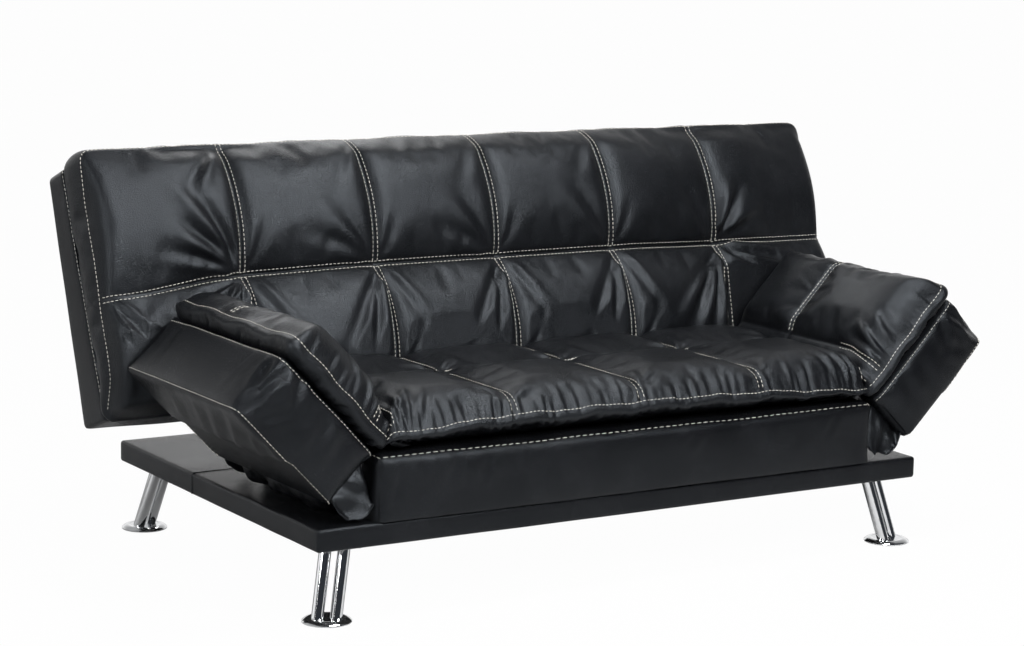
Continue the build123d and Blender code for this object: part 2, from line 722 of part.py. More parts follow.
# ---- gussets: slack cloth in the wedge under each raised arm ----------------------------------------
arm_corner = (arm_frame_of * Pos(arm_start - gusset_gap, 0, -arm_thickness + arm_edge)).position
corner_at = (arm_corner.X, arm_corner.Z)
corner_top = polar(corner_at, gusset_thickness, arm_raise + 90)
seat_at = (seat_half_width + gusset_gap, seat_top - gusset_seat_drop)
sag_at = ((corner_at[0] + seat_at[0]) / 2, min(corner_at[1], seat_at[1]) - gusset_sag)
under = ThreePointArc(seat_at, sag_at, corner_at)
seat_over, sag_over = ((x, z + gusset_thickness) for x, z in (seat_at, sag_at))
over = ThreePointArc(corner_top, sag_over, seat_over)
gusset_face = make_face(under + over + Line(over @ 1, under @ 0) + Line(under @ 1, over @ 0))
for side, cloth in both(across_y(gusset_face, grown(seat_y, -gusset_inset))).items():
    write(f"arm_gusset_{side}", cloth)

write("seat_box", seat_box - seat_bores)
write("seat_frame", seat_frame - seat_bores)
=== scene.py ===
"""Click-clack futon sofa bed in black leatherette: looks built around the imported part.

Metres.  X runs along the sofa, the front faces -Y, +Z is up.  Each padded piece is drawn in the flat frame
of its own part, with a height over the box that it is sewn to, and is then turned into the raised position.
"""
import json
import math

import bmesh
import bpy
import numpy as np
from bpy.props import FloatProperty, FloatVectorProperty, IntProperty, PointerProperty
from mathutils import Matrix, Vector
from mathutils.bvhtree import BVHTree


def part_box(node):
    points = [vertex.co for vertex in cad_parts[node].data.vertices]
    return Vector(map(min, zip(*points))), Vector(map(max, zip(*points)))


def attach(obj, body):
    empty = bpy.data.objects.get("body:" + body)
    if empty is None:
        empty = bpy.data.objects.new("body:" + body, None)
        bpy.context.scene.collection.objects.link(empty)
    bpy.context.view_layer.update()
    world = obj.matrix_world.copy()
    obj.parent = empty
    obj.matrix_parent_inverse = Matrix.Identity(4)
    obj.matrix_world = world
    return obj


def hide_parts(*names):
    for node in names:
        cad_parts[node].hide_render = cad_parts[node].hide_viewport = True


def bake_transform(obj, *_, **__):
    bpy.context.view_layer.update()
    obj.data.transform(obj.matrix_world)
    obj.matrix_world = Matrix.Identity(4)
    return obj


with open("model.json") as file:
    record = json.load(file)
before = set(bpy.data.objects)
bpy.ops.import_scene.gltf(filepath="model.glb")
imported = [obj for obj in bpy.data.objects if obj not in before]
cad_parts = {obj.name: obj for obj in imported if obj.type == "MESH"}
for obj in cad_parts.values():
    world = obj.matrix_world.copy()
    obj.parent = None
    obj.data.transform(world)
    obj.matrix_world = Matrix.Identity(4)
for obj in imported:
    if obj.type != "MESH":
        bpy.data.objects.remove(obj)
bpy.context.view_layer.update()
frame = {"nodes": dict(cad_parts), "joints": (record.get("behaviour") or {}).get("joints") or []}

bl_info = {
    "name": "Futon sofa bed",
    "version": (1, 0, 0),
    "blender": (4, 5, 0),
    "location": "3D View > Sidebar > Futon",
    "description": "Padded covers, boxes, stitching and finishes of a folding sofa bed",
    "category": "Add Mesh",
}

JOINTS = {joint["name"]: joint for joint in frame["joints"]}
SIDES = {"left": -1, "right": 1}
BOTH_WAYS = (-1, 1)
IN_PLACE = Matrix.Identity(4)

FRONT, REAR = -0.476, 0.036             # of the seat and the arms
PAD_FRONT = FRONT - 0.004               # of the seat pad and the arm pads
PASSING = REAR + 0.001                  # the seat's and the arms' covers stay in front of this
SEAT_ROW = FRONT + 0.304                # the seam along the seat pad, and the one on across each arm pad
SEAT_HALF = 0.600                       # to the fold where the seat pad is sewn to an arm pad
SEAT_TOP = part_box("seat_box")[1].z
BASE_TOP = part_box("base_board")[1].z
END_SEAM = 0.097                        # where a seam goes round each end of the base board
ARM_TIP = 0.300                         # from the hinge to the outer end of an arm pad
BACK_HALF, BACK_LENGTH = 0.932, 0.562   # of the back pad
BACK_ROW = 0.270                        # the seam along the back pad
BACK_BOX_HALF, BACK_BOX_LENGTH = 0.925, 0.553
BACK_BOX_DEPTH, BACK_BOX_TAPER = 0.123, 0.041
SLOT_PLACE, SLOT_HALF = 0.5585, 0.0075  # of the slots for the click hinges' plates, along the sofa
SLOT_LOW, SLOT_HIGH = (-0.05, 0.025), (0.125, 0.234)
FULL_HEIGHT = 0.06                      # from a seam to where its panel has risen
GROOVE_WIDTH, GROOVE_DEPTH = 0.0022, 0.0018
UNDERSIDE_REACH = 0.05                  # how far in a pad's underside goes before it rests on its box
SWELL_LIMIT = 0.014                     # how far the filling may move a cover
THREAD_LIFT = 0.0004                    # of a row's centre line over the leather
ROW_STEP = 0.006                        # between the points that a row is laid through
ROW_INSET = 0.005                       # from a box's edge to the row beside it
STITCH_TILT = 0.09                      # how far a stitch may lean, in radians


# ---- frames of the four parts ---------------------------------------------------------------------
def raised(joint_name):
    """Turns a part from flat, where its joint's lower limit puts it, to rest."""
    joint = JOINTS[joint_name]
    pivot = Matrix.Translation(joint["pos_m"])
    turn = Matrix.Rotation(math.radians(-joint["range_deg"][0]), 4, Vector(joint["axis"]))
    return pivot @ turn @ pivot.inverted()


def flat_corner(node, joint_name):
    """The lowest coordinates of a node after its part is laid flat."""
    lay = raised(joint_name).inverted()
    return np.array([lay @ v.co for v in frame["nodes"][node].data.vertices]).min(0)


back_corner = flat_corner("back_box", "back_fold")
SEAT_PLACE = Matrix.Translation((0, 0, SEAT_TOP))
BACK_PLACE = raised("back_fold") @ Matrix.Translation((0, back_corner[1], back_corner[2]))
ARM_PLACE = {
    side: raised(f"arm_{side}_fold") @ Matrix.Translation(JOINTS[f"arm_{side}_fold"]["pos_m"])
    @ Matrix.Diagonal((sign, 1, 1, 1))
    for side, sign in SIDES.items()
}


def moved(place, points):
    """Points of a flat frame, in the sofa's own frame."""
    m = np.array(place)
    return np.asarray(points) @ m[:3, :3].T + m[:3, 3]


# ---- small shape helpers ----------------------------------------------------------------------------
def smooth(t):
    """Eases from 0 to 1."""
    t = np.clip(t, 0, 1)
    return t * t * (3 - 2 * t)


def dome(t):
    """Rises steeply from 0 and flattens out at 1, much as a quarter of an ellipse does."""
    t = np.clip(t, 0, 1)
    return np.sqrt(np.clip(1 - (1 - t) ** 2.8, 0, 1))


def ripple(points, size, seed):
    """Smooth unevenness from -1 to 1 with features of about a size, the same each time for a seed."""
    rng = np.random.default_rng(seed)
    total = np.zeros(len(points))
    for _ in range(7):
        direction = rng.normal(size=3)
        direction *= rng.uniform(0.6, 1.5) / (np.linalg.norm(direction) * size)
        total += np.sin(points @ direction * math.pi + rng.uniform(0, 2 * math.pi))
    return total / 4


def nearest(values, lines):
    """Distance from each value to the nearest of some lines, far away if there are none."""
    if not len(lines):
        return np.full(np.shape(values), 1.0)
    return np.min([np.abs(values - line) for line in lines], axis=0)


def graded(low, high, seams, cell, band):
    """Grid lines between two limits: five across each seam's band and about one per cell elsewhere."""
    lines = []
    stops = [low, *seams, high]
    for start, end in zip(stops, stops[1:]):
        first = start + (band if start in seams else 0)
        last = end - (band if end in seams else 0)
        lines += list(np.linspace(first, last, max(2, round((last - first) / cell)) + 1))
        if end in seams:
            lines += [end - band / 2, end, end + band / 2]
    return np.array(sorted(set(np.round(lines, 6))))


def linked(name, data):
    """An object in the scene."""
    obj = bpy.data.objects.new(name, data)
    bpy.context.scene.collection.objects.link(obj)
    return obj


def new_object(name, points, faces, material):
    """A mesh object at the origin with its place in its mesh."""
    mesh = bpy.data.meshes.new(name)
    mesh.from_pydata([tuple(p) for p in points], [], [tuple(f) for f in faces])
    mesh.materials.append(material)
    mesh.shade_smooth()
    return linked(name, mesh)


def grid_faces(at):
    """Quads between the points of a grid of point numbers."""
    return np.stack([at[:-1, :-1], at[1:, :-1], at[1:, 1:], at[:-1, 1:]], -1).reshape(-1, 4).tolist()


def band_faces(upper, lower):
    """Quads between two closed runs of point numbers."""
    return np.stack([upper, lower, np.roll(lower, -1), np.roll(upper, -1)], -1).tolist()


def per_point(obj, key):
    """One vector for each of a mesh's points."""
    values = np.zeros(len(obj.data.vertices) * 3)
    obj.data.vertices.foreach_get(key, values)
    return values.reshape(-1, 3)


def coordinates(obj):
    """A mesh's points as an array."""
    return per_point(obj, "co")


def set_coordinates(obj, points):
    """Moves a mesh's points to those of an array."""
    obj.data.vertices.foreach_set("co", np.asarray(points, float).ravel())
    obj.data.update()


def push_out(obj, amounts):
    """Moves each point along its normal."""
    set_coordinates(obj, coordinates(obj) + per_point(obj, "normal") * amounts[:, None])


def evaluated_mesh(obj):
    """What an object's modifiers or its bevel make of it."""
    depsgraph = bpy.context.evaluated_depsgraph_get()
    mesh = bpy.data.meshes.new_from_object(obj.evaluated_get(depsgraph))
    mesh.shade_smooth()
    return mesh


def made_final(obj):
    """Replaces an object's mesh by what its modifiers make of it."""
    mesh = evaluated_mesh(obj)
    obj.modifiers.clear()
    obj.vertex_groups.clear()
    old, obj.data = obj.data, mesh
    bpy.data.meshes.remove(old)


def lines_curve(name, rows):
    """A curve with one line for each row of points, which has the row's radius."""
    curve = bpy.data.curves.new(name, "CURVE")
    curve.dimensions = "3D"
    for points, radius in rows:
        spline = curve.splines.new("POLY")
        spline.points.add(len(points) - 1)
        for spot, p in zip(spline.points, points):
            spot.co = (*p, 1)
            spot.radius = radius
    return linked(name, curve)


def drawn_mesh(drawn, name):
    """A mesh object that takes a drawn curve's place."""
    mesh = evaluated_mesh(drawn)
    mesh.name = name
    bpy.data.objects.remove(drawn)
    return linked(name, mesh)


def close_and_place(obj, place):
    """Fills the open underside, puts the piece in its place and turns every face outwards."""
    shell = bmesh.new()
    shell.from_mesh(obj.data)
    rim = [edge for edge in shell.edges if edge.is_boundary]
    if rim:
        bmesh.ops.contextual_create(shell, geom=rim)
    bmesh.ops.transform(shell, matrix=place, verts=shell.verts)
    bmesh.ops.recalc_face_normals(shell, faces=shell.faces)
    shell.to_mesh(obj.data)
    shell.free()
    obj.data.shade_smooth()


# ---- finishes -----------------------------------------------------------------------------------
class Link:
    """A socket's value that takes part in sums as a number does."""

    def __init__(self, maker, socket):
        self.maker, self.socket = maker, socket

    def other(self, output):
        """Another output of the same node."""
        return Link(self.maker, self.socket.node.outputs[output])

    def maths(self, operation, first, second):
        """One Math node."""
        return self.maker.node("ShaderNodeMath", {"operation": operation}, {0: first, 1: second})

    def __add__(self, other):
        return self.maths("ADD", self, other)

    def __radd__(self, other):
        return self.maths("ADD", other, self)

    def __sub__(self, other):
        return self.maths("SUBTRACT", self, other)

    def __rsub__(self, other):
        return self.maths("SUBTRACT", other, self)

    def __mul__(self, other):
        return self.maths("MULTIPLY", self, other)

    def __rmul__(self, other):
        return self.maths("MULTIPLY", other, self)


class NodeMaker:
    """Adds nodes to a tree and links them."""

    def __init__(self, tree):
        self.tree = tree

    def join(self, value, socket):
        """Gives a socket its value, or links it."""
        if isinstance(value, Link):
            self.tree.links.new(value.socket, socket)
        else:
            socket.default_value = value

    def node(self, kind, settings=None, inputs=None, output=0):
        """Adds a node: its settings first, then the values or links of its sockets."""
        node = self.tree.nodes.new(kind)
        for key, value in (settings or {}).items():
            if key == "stops":
                ramp = node.color_ramp.elements
                while len(ramp) < len(value):
                    ramp.new(0.5)
                for element, (position, grey) in zip(ramp, value):
                    element.position, element.color = position, (grey, grey, grey, 1)
            else:
                setattr(node, key, value)
        for key, value in (inputs or {}).items():
            self.join(value, node.inputs[key])
        return Link(self, node.outputs[output])

    def mix(self, factor, first, second):
        """A colour between two others."""
        return self.node("ShaderNodeMix", {"data_type": "RGBA"}, {0: factor, 6: first, 7: second}, 2)


class Finish(NodeMaker):
    """A material under construction."""

    def __init__(self, name):
        self.material = bpy.data.materials.new(name)
        self.material.use_nodes = True
        super().__init__(self.material.node_tree)
        self.shader = self.tree.nodes["Principled BSDF"]

    def place(self, scale=(1, 1, 1)):
        """Object coordinates, scaled."""
        where = self.node("ShaderNodeTexCoord", output="Object")
        return self.node("ShaderNodeMapping", {}, {"Vector": where, "Scale": scale})

    def noise(self, where, scale, detail=2.0, roughness=0.5):
        """Cloudy unevenness from 0 to 1."""
        return self.node("ShaderNodeTexNoise", {}, {
            "Vector": where, "Scale": scale, "Detail": detail, "Roughness": roughness,
        })

    def cells(self, where, scale, feature="F1"):
        """Distance within the cells of a grain."""
        inputs = {"Vector": where, "Scale": scale}
        return self.node("ShaderNodeTexVoronoi", {"feature": feature}, inputs, "Distance")

    def ramp(self, value, *stops):
        """A value drawn through stops, each a place and a grey."""
        return self.node("ShaderNodeValToRGB", {"stops": stops}, {"Fac": value}, "Color")

    def bump(self, height, distance, strength, under=None):
        """A normal that a height has shaped."""
        inputs = {"Height": height, "Distance": distance, "Strength": strength}
        if under:
            inputs["Normal"] = under
        return self.node("ShaderNodeBump", {}, inputs)

    def surface(self, **sockets):
        """Sets the shader's sockets, whose names are written with underscores."""
        for key, value in sockets.items():
            self.join(value, self.shader.inputs[key.replace("_", " ")])
        return self.material


def opaque(colour, factor=1.0, lift=0.0):
    """A colour made paler or darker, with its alpha."""
    return (*(c * factor + lift for c in colour), 1)


def leather(name, colour, gloss, grain, shine):
    """Leatherette: a fine pebble grain, softer and duller patches, and a slight blue cast in its gloss."""
    f = Finish(name)
    where = f.place()
    pebbles = f.cells(where, 1 / grain)
    creases = f.cells(where, 0.45 / grain, "DISTANCE_TO_EDGE")
    patches = f.noise(where, 9.0, 3.0)
    fine = f.noise(where, 2.2 / grain, 2.0, 0.6)
    relief = pebbles * 0.55 + fine * 0.7 + f.ramp(creases, (0.0, 0.0), (0.12, 1.0)) * 0.35
    worn = f.ramp(patches, (0.3, 0.0), (0.75, 1.0))
    soft = f.bump(f.noise(f.place((1, 1, 0.6)), 16.0, 2.0, 0.45), grain * 1.5, 0.5)
    return f.surface(
        Base_Color=f.mix(worn, opaque(colour), opaque(colour, 1.7, 0.002)),
        Roughness=gloss + patches * 0.07 + pebbles * 0.07, Normal=f.bump(relief, grain * 0.32, 0.66, soft),
        Specular_IOR_Level=shine, Specular_Tint=(0.84, 0.92, 1.0, 1),
    )


def woven(name, colour, thread):
    """Plain woven or non-woven cloth."""
    f = Finish(name)
    bands = {"Vector": f.place((1 / thread, 1 / thread, 1 / thread)), "Scale": 1.0, "Distortion": 1.2}
    warp, weft = (f.node("ShaderNodeTexWave", {"bands_direction": way}, bands) for way in "XY")
    weave = warp * weft
    fluff = f.noise(f.place(), 90.0, 3.0)
    return f.surface(
        Base_Color=f.mix(fluff * weave, opaque(colour), opaque(colour, 1.9)), Roughness=0.8 + fluff * 0.15,
        Normal=f.bump(weave + fluff * 0.5, thread * 0.4, 0.6), Sheen_Weight=0.15,
    )


def thread_finish(name, colour):
    """Twisted sewing thread."""
    f = Finish(name)
    twist = f.noise(f.place(), 900.0, 1.0)
    tone = f.mix(f.noise(f.place(), 140.0, 2.0), opaque(colour, 0.62), opaque(colour))
    return f.surface(Base_Color=tone, Roughness=0.55 + twist * 0.2, Normal=f.bump(twist, 0.0003, 0.6))


def plated(name, colour, gloss, brushing):
    """Plated or zinc-coated steel, with faint polishing marks and duller smudges."""
    f = Finish(name)
    smudges = f.noise(f.place(), 22.0, 4.0, 0.6)
    marks = f.noise(f.place((160, 160, 8)), 1.0, 3.0)
    tone = f.mix(f.ramp(smudges, (0.35, 0.0), (0.8, 1.0)), opaque(colour), opaque(colour, 0.88))
    return f.surface(
        Base_Color=tone, Metallic=1.0, Roughness=gloss + smudges * gloss * 0.8 + marks * brushing,
        Normal=f.bump(marks, 0.0002, 0.15),
    )


def moulded(name, colour):
    """Moulded plastic with a fine spark texture."""
    f = Finish(name)
    spark = f.noise(f.place(), 700.0, 2.0)
    return f.surface(
        Base_Color=f.mix(spark, opaque(colour), opaque(colour, 1.4)), Roughness=0.5 + spark * 0.15,
        Normal=f.bump(spark, 0.0002, 0.4),
    )


def wooden(name, pale, dark, rings):
    """Sawn wood with grain along X."""
    f = Finish(name)
    where = f.place((1.2, 1 / rings, 1 / rings))
    bend = f.noise(where, 0.35, 2.0)
    grain = f.node("ShaderNodeTexWave", {"wave_type": "RINGS", "rings_direction": "X"}, {
        "Vector": where, "Scale": 0.6, "Distortion": 5.0, "Detail": 3.0, "Detail Scale": 1.4,
    })
    fibres = f.noise(f.place((6, 240, 240)), 1.0, 4.0)
    streak = grain * 0.6 + fibres * 0.3 + bend * 0.2
    return f.surface(
        Base_Color=f.mix(f.ramp(streak, (0.2, 0.0), (0.85, 1.0)), opaque(pale), opaque(dark)),
        Roughness=0.62 + fibres * 0.15, Normal=f.bump(streak, 0.0006, 0.5),
    )


# ---- settings ---------------------------------------------------------------------------------------
def length(name, description, default):
    """A length that the user may change."""
    return FloatProperty(name=name, description=description, default=default, min=0.0, unit="LENGTH")


def colour(name, description, default):
    """A colour that the user may change."""
    return FloatVectorProperty(
        name=name, description=description, default=default, subtype="COLOR", size=3, min=0.0, max=1.0
    )


class FutonPadding(bpy.types.PropertyGroup):
    """Sizes of the padded covers."""
    panel_pitch: length("Panel pitch", "Between two seams along the sofa", 0.3083)
    seam_band: length("Seam band", "Half width of the flat strip that a double seam holds down", 0.011)
    cell: length("Mesh cell", "Size of a cover's mesh before it is subdivided", 0.0095)
    pressure: FloatProperty(name="Pressure", description="Pressure of the filling", default=3.0, min=0.0)
    slack: FloatProperty(
        name="Slack", description="Share by which a cover is cut larger than its panel", default=0.02, min=0.0
    )
    frames: IntProperty(name="Frames", description="Steps for which a cover is filled", default=18, min=2)


class FutonStitching(bpy.types.PropertyGroup):
    """Sizes of the contrast stitching."""
    pitch: length("Pitch", "From one stitch to the next", 0.0094)
    stitch: length("Stitch", "Length of a stitch", 0.0070)
    thickness: length("Thickness", "Thickness of the thread", 0.0017)
    row_gap: length("Row gap", "Between the two rows of a double seam", 0.011)
    seed: IntProperty(name="Seed", description="Seed for the unevenness of the stitches", default=7)


class FutonColours(bpy.types.PropertyGroup):
    """Colours of the finishes."""
    leather: colour("Leather", "Leatherette of the pads and boxes", (0.0036, 0.0039, 0.0047))
    thread: colour("Thread", "Contrast thread", (0.66, 0.64, 0.58))
    chrome: colour("Chrome", "Legs and feet", (0.86, 0.87, 0.88))
    floor: colour("Floor", "Floor under the sofa", (0.48, 0.48, 0.48))


def padding():
    """The scene's settings for the padded covers."""
    return bpy.context.scene.futon_padding


def stitching():
    """The scene's settings for the stitching."""
    return bpy.context.scene.futon_stitching


def colours():
    """The scene's settings for the finishes' colours."""
    return bpy.context.scene.futon_colours


finishes = {}
NODE_FINISHES = {                       # the first whose list has a node's first words
    "hinge_steel": (
        "leg_screws", "leg_plate", "click_", "arm_hinge_pins", "arm_leaves", "arm_seat_leaves", "seat_bolts",
        "back_bolts",
    ),
    "chrome": ("leg_",),
    "glide_nylon": ("foot_glides",),
    "timber": ("base_frame", "seat_frame", "back_frame", "arm_frame"),
    "slat_wood": ("seat_slats", "back_slats"),
    "dust_cloth": ("dust_cloth",),
    "box_leather": ("base_board", "seat_box", "back_box", "arm_box"),
    "pad_leather": ("seat_pad", "back_pad", "arm_pad"),
    "gusset_cloth": ("arm_gusset",),
}


class FUTON_OT_finishes(bpy.types.Operator):
    """Make every finish of the sofa"""
    bl_idname = "futon.finishes"
    bl_label = "Finishes"

    def execute(self, context):
        dark = tuple(colours().leather)
        finishes.update(
            pad_leather=leather("pad_leather", dark, 0.225, 0.0024, 0.28),
            box_leather=leather("box_leather", tuple(c * 0.92 for c in dark), 0.17, 0.0016, 0.23),
            gusset_cloth=leather("gusset_cloth", tuple(c * 0.9 for c in dark), 0.22, 0.0020, 0.30),
            thread=thread_finish("thread", tuple(colours().thread)),
            dust_cloth=woven("dust_cloth", (0.012, 0.012, 0.013), 0.0012),
            chrome=plated("chrome", tuple(colours().chrome), 0.05, 0.02),
            hinge_steel=plated("hinge_steel", (0.30, 0.30, 0.31), 0.26, 0.12),
            glide_nylon=moulded("glide_nylon", (0.015, 0.015, 0.016)),
            timber=wooden("timber", (0.55, 0.38, 0.21), (0.33, 0.20, 0.10), 0.02),
            slat_wood=wooden("slat_wood", (0.66, 0.49, 0.30), (0.48, 0.32, 0.17), 0.012),
        )
        for name, node in frame["nodes"].items():
            finish = next((key for key, starts in NODE_FINISHES.items() if name.startswith(starts)), None)
            if finish is None:
                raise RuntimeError(f"no finish is given for {name}")
            node.data.materials.clear()
            node.data.materials.append(finishes[finish])
        return {"FINISHED"}


# ---- padded covers --------------------------------------------------------------------------------
def round_corners(a, b, low, high, radius):
    """Pulls the corners of a rectangular plan into quarter circles."""
    a, b = a.copy(), b.copy()
    for end_a, way_a in ((low[0], 1), (high[0], -1)):
        for end_b, way_b in ((low[1], 1), (high[1], -1)):
            p = 1 - (a - end_a) * way_a / radius
            q = 1 - (b - end_b) * way_b / radius
            inside = (p > 0) & (q > 0)
            new_p = p * np.sqrt(np.clip(1 - q * q / 2, 0, 1))
            new_q = q * np.sqrt(np.clip(1 - p * p / 2, 0, 1))
            a = np.where(inside, end_a + (1 - new_p) * radius * way_a, a)
            b = np.where(inside, end_b + (1 - new_q) * radius * way_b, b)
    return a, b


class Cover:
    """A sewn cover over a pad: panels between seams on top, and a soft side from its edge seam down.

    Its flat frame has a along the first direction, b along the second and a height over the box.
    edge, valley and crown are functions of a and b that give the heights of the edge seam, the panel
    seams and the panels.  foot gives the height of the side's lower end, tuck how far that goes in, and
    drop how far the underside sinks inside it.  skew moves the plan's points.
    """

    def __init__(self, low, high, seams_a, seams_b, edge, valley, crown, foot, tuck, bulge, corner, roll,
                 drop=0.0, skew=None):
        self.low, self.high, self.seams_a, self.seams_b = low, high, seams_a, seams_b
        self.edge, self.valley, self.crown, self.foot = edge, valley, crown, foot
        self.tuck, self.bulge, self.corner, self.roll = tuck, bulge, corner, roll
        self.drop, self.skew = drop, skew

    def height(self, a, b):
        """Height of the sewn cover before it is filled."""
        rim = np.min([a - self.low[0], self.high[0] - a, b - self.low[1], self.high[1] - b], axis=0)
        edge, valley, crown = self.edge(a, b), self.valley(a, b), self.crown(a, b)
        off_a, off_b = nearest(a, self.seams_a), nearest(b, self.seams_b)
        puff = dome(off_a / FULL_HEIGHT) * dome(off_b / FULL_HEIGHT)
        groove = np.exp(-(np.minimum(off_a, off_b) / GROOVE_WIDTH) ** 2)
        top = valley + (crown - valley) * puff * smooth(rim / 0.05)
        return edge + (top - edge) * dome(rim / self.roll) - GROOVE_DEPTH * groove * smooth(rim / 0.012)

    def point(self, a, b):
        """A place on the sewn cover, as three coordinates."""
        a, b = np.asarray(a, float), np.asarray(b, float)
        height = self.height(a, b)
        plan_a, plan_b = round_corners(a, b, self.low, self.high, self.corner)
        if self.skew:
            plan_a, plan_b = self.skew(plan_a, plan_b)
        return np.stack([plan_a, plan_b, height], -1)

    def side(self, a, b, depth):
        """Points of the side at a share of its depth, for a closed run round the plan."""
        ring = self.point(a, b)
        along = np.roll(ring, -1, 0) - np.roll(ring, 1, 0)
        out = np.stack([along[:, 1], -along[:, 0]], -1)
        out = out / np.linalg.norm(out, axis=1, keepdims=True)
        push = self.bulge * math.sin(math.pi * depth) - self.tuck * depth ** 3
        drop = (self.foot(a, b) - ring[:, 2]) * depth
        return np.column_stack([ring[:, :2] + out * push, ring[:, 2] + drop])

    def build(self, name, material):
        """The cover as a mesh that is open underneath, and the weights that the seams hold it by."""
        sizes = padding()
        lines_a = graded(self.low[0], self.high[0], self.seams_a, sizes.cell, sizes.seam_band)
        lines_b = graded(self.low[1], self.high[1], self.seams_b, sizes.cell, sizes.seam_band)
        na, nb = len(lines_a), len(lines_b)
        a, b = np.meshgrid(lines_a, lines_b, indexing="ij")
        points = self.point(a.ravel(), b.ravel())
        band = sizes.seam_band * 1.01
        held = ((nearest(a, self.seams_a) < band) | (nearest(b, self.seams_b) < band)).ravel().astype(float)
        at = np.arange(na * nb).reshape(na, nb)
        faces = grid_faces(at)
        ring = np.concatenate([at[:, 0], at[-1, 1:], at[-2::-1, -1], at[0, -2:0:-1]])
        held[ring] = 1.0
        ring_a, ring_b = a.ravel()[ring], b.ravel()[ring]
        ring_height = float(np.mean(points[ring, 2] - self.foot(ring_a, ring_b)))
        steps = max(3, round(ring_height / sizes.cell))
        rows, upper = [points], ring
        for step in range(1, steps + 1):
            rows.append(self.side(ring_a, ring_b, step / steps))
            lower = np.arange(len(ring)) + sum(len(r) for r in rows[:-1])
            held = np.append(held, np.full(len(ring), 1.0 if step == steps else 0.0))
            faces += band_faces(upper, lower)
            upper = lower
        last = rows[-1]
        centre = (last.min(0) + last.max(0)) / 2
        room = (last.max(0) - last.min(0)) / 2
        share = 1 - UNDERSIDE_REACH / room[:2].min()
        faces += band_faces(upper, np.arange(len(ring)) + sum(len(r) for r in rows))
        under = centre[:2] + (last[:, :2] - centre[:2]) * share
        rows.append(np.column_stack([under, last[:, 2] - self.drop]))
        held = np.append(held, np.ones(len(ring)))
        return new_object(name, np.concatenate(rows), faces, material), held


CLOTH = {
    "quality": 5, "mass": 0.25, "tension_stiffness": 25, "compression_stiffness": 25, "shear_stiffness": 12,
    "bending_stiffness": 5.0, "tension_damping": 12, "compression_damping": 12, "shear_damping": 12,
    "bending_damping": 1.0, "air_damping": 2.0, "use_pressure": True, "vertex_group_mass": "seams",
    "pin_stiffness": 20,
}


def fill(obj, held, slack):
    """Fills a cover with the cloth solver: the seams stay where they are and the panels swell and pucker."""
    sizes, scene = padding(), bpy.context.scene
    before = coordinates(obj)
    pinned = obj.vertex_groups.new(name="seams")
    for weight in np.unique(held):
        if weight > 0:
            pinned.add(np.nonzero(held == weight)[0].tolist(), float(weight), "REPLACE")
    cloth = obj.modifiers.new("filling", "CLOTH")
    for key, value in CLOTH.items():
        setattr(cloth.settings, key, value)
    cloth.settings.uniform_pressure_force = sizes.pressure
    cloth.settings.shrink_min = -sizes.slack * slack
    cloth.settings.effector_weights.gravity = 0
    cloth.collision_settings.use_collision = False
    for timed in (cloth.point_cache, scene):
        timed.frame_start, timed.frame_end = 1, sizes.frames
    for step in range(1, sizes.frames + 1):
        scene.frame_set(step)
    made_final(obj)
    scene.frame_set(1)
    move = coordinates(obj) - before
    far = np.linalg.norm(move, axis=1, keepdims=True)
    set_coordinates(obj, before + move * np.minimum(1, SWELL_LIMIT / np.maximum(far, 1e-9)))


def refine(obj):
    """One level of subdivision, applied."""
    finer = obj.modifiers.new("finer", "SUBSURF")
    finer.levels = finer.render_levels = 1
    made_final(obj)


def radiate(obj, folds):
    """Presses folds into a cover: each runs from one plan point to another, with a width and a depth."""
    points = coordinates(obj)
    shift = np.zeros(len(points))
    for (a0, b0), (a1, b1), width, depth in folds:
        run = np.array([a1 - a0, b1 - b0])
        size = np.linalg.norm(run)
        run /= size
        rel = points[:, :2] - (a0, b0)
        along = rel @ run / size
        bend = 0.12 * width * np.sin(along * 5 + a0 * 40)
        spread = width * (0.55 + 0.9 * np.clip(along, 0, 1))
        off = (rel @ np.array([-run[1], run[0]]) + bend) / spread
        ends = smooth(along / 0.18) * smooth((1 - along) / 0.65)
        shift += depth * ends * (0.75 * np.exp(-((off - 1.15) ** 2)) - np.exp(-(off ** 2)))
    push_out(obj, shift)


seam_rows = {}


def surface_of(obj):
    """A piece's surface, to lay stitches on."""
    mesh = obj.data
    return BVHTree.FromPolygons([v.co for v in mesh.vertices], [p.vertices for p in mesh.polygons])


def sew(body, surface, place, points, stretch=1.0):
    """Lays one row of stitches on a surface, near a line of points in a part's flat frame."""
    laid = []
    for guess in moved(place, points):
        where, normal, _, _ = surface.find_nearest(Vector(guess))
        laid.append(where + normal * THREAD_LIFT)
    seam_rows.setdefault(body, []).append((laid, stretch))


def run_of(first, last):
    """Values from one limit to another, about a step apart."""
    return np.linspace(first, last, max(3, int(abs(last - first) / ROW_STEP)))


def runs_through(corners):
    """Points about a step apart along straight runs from corner to corner."""
    return np.concatenate([
        np.linspace(p, q, max(3, int(math.dist(p, q) / ROW_STEP))) for p, q in zip(corners, corners[1:])
    ])


def cut_slots(obj):
    """Cuts the slots that the click hinges' plates lie in, from the back's lower end up."""
    close_and_place(obj, IN_PLACE)
    for sign in SIDES.values():
        low = Vector((sign * SLOT_PLACE - SLOT_HALF, *SLOT_LOW))
        high = Vector((sign * SLOT_PLACE + SLOT_HALF, *SLOT_HIGH))
        shell = bmesh.new()
        bmesh.ops.create_cube(shell, size=1.0, matrix=Matrix.LocRotScale((low + high) / 2, None, high - low))
        tool = new_object("slot", [], [], obj.data.materials[0])
        shell.to_mesh(tool.data)
        shell.free()
        cut = obj.modifiers.new("slot", "BOOLEAN")
        cut.operation, cut.solver, cut.object = "DIFFERENCE", "EXACT", tool
        made_final(obj)
        bpy.data.objects.remove(tool)


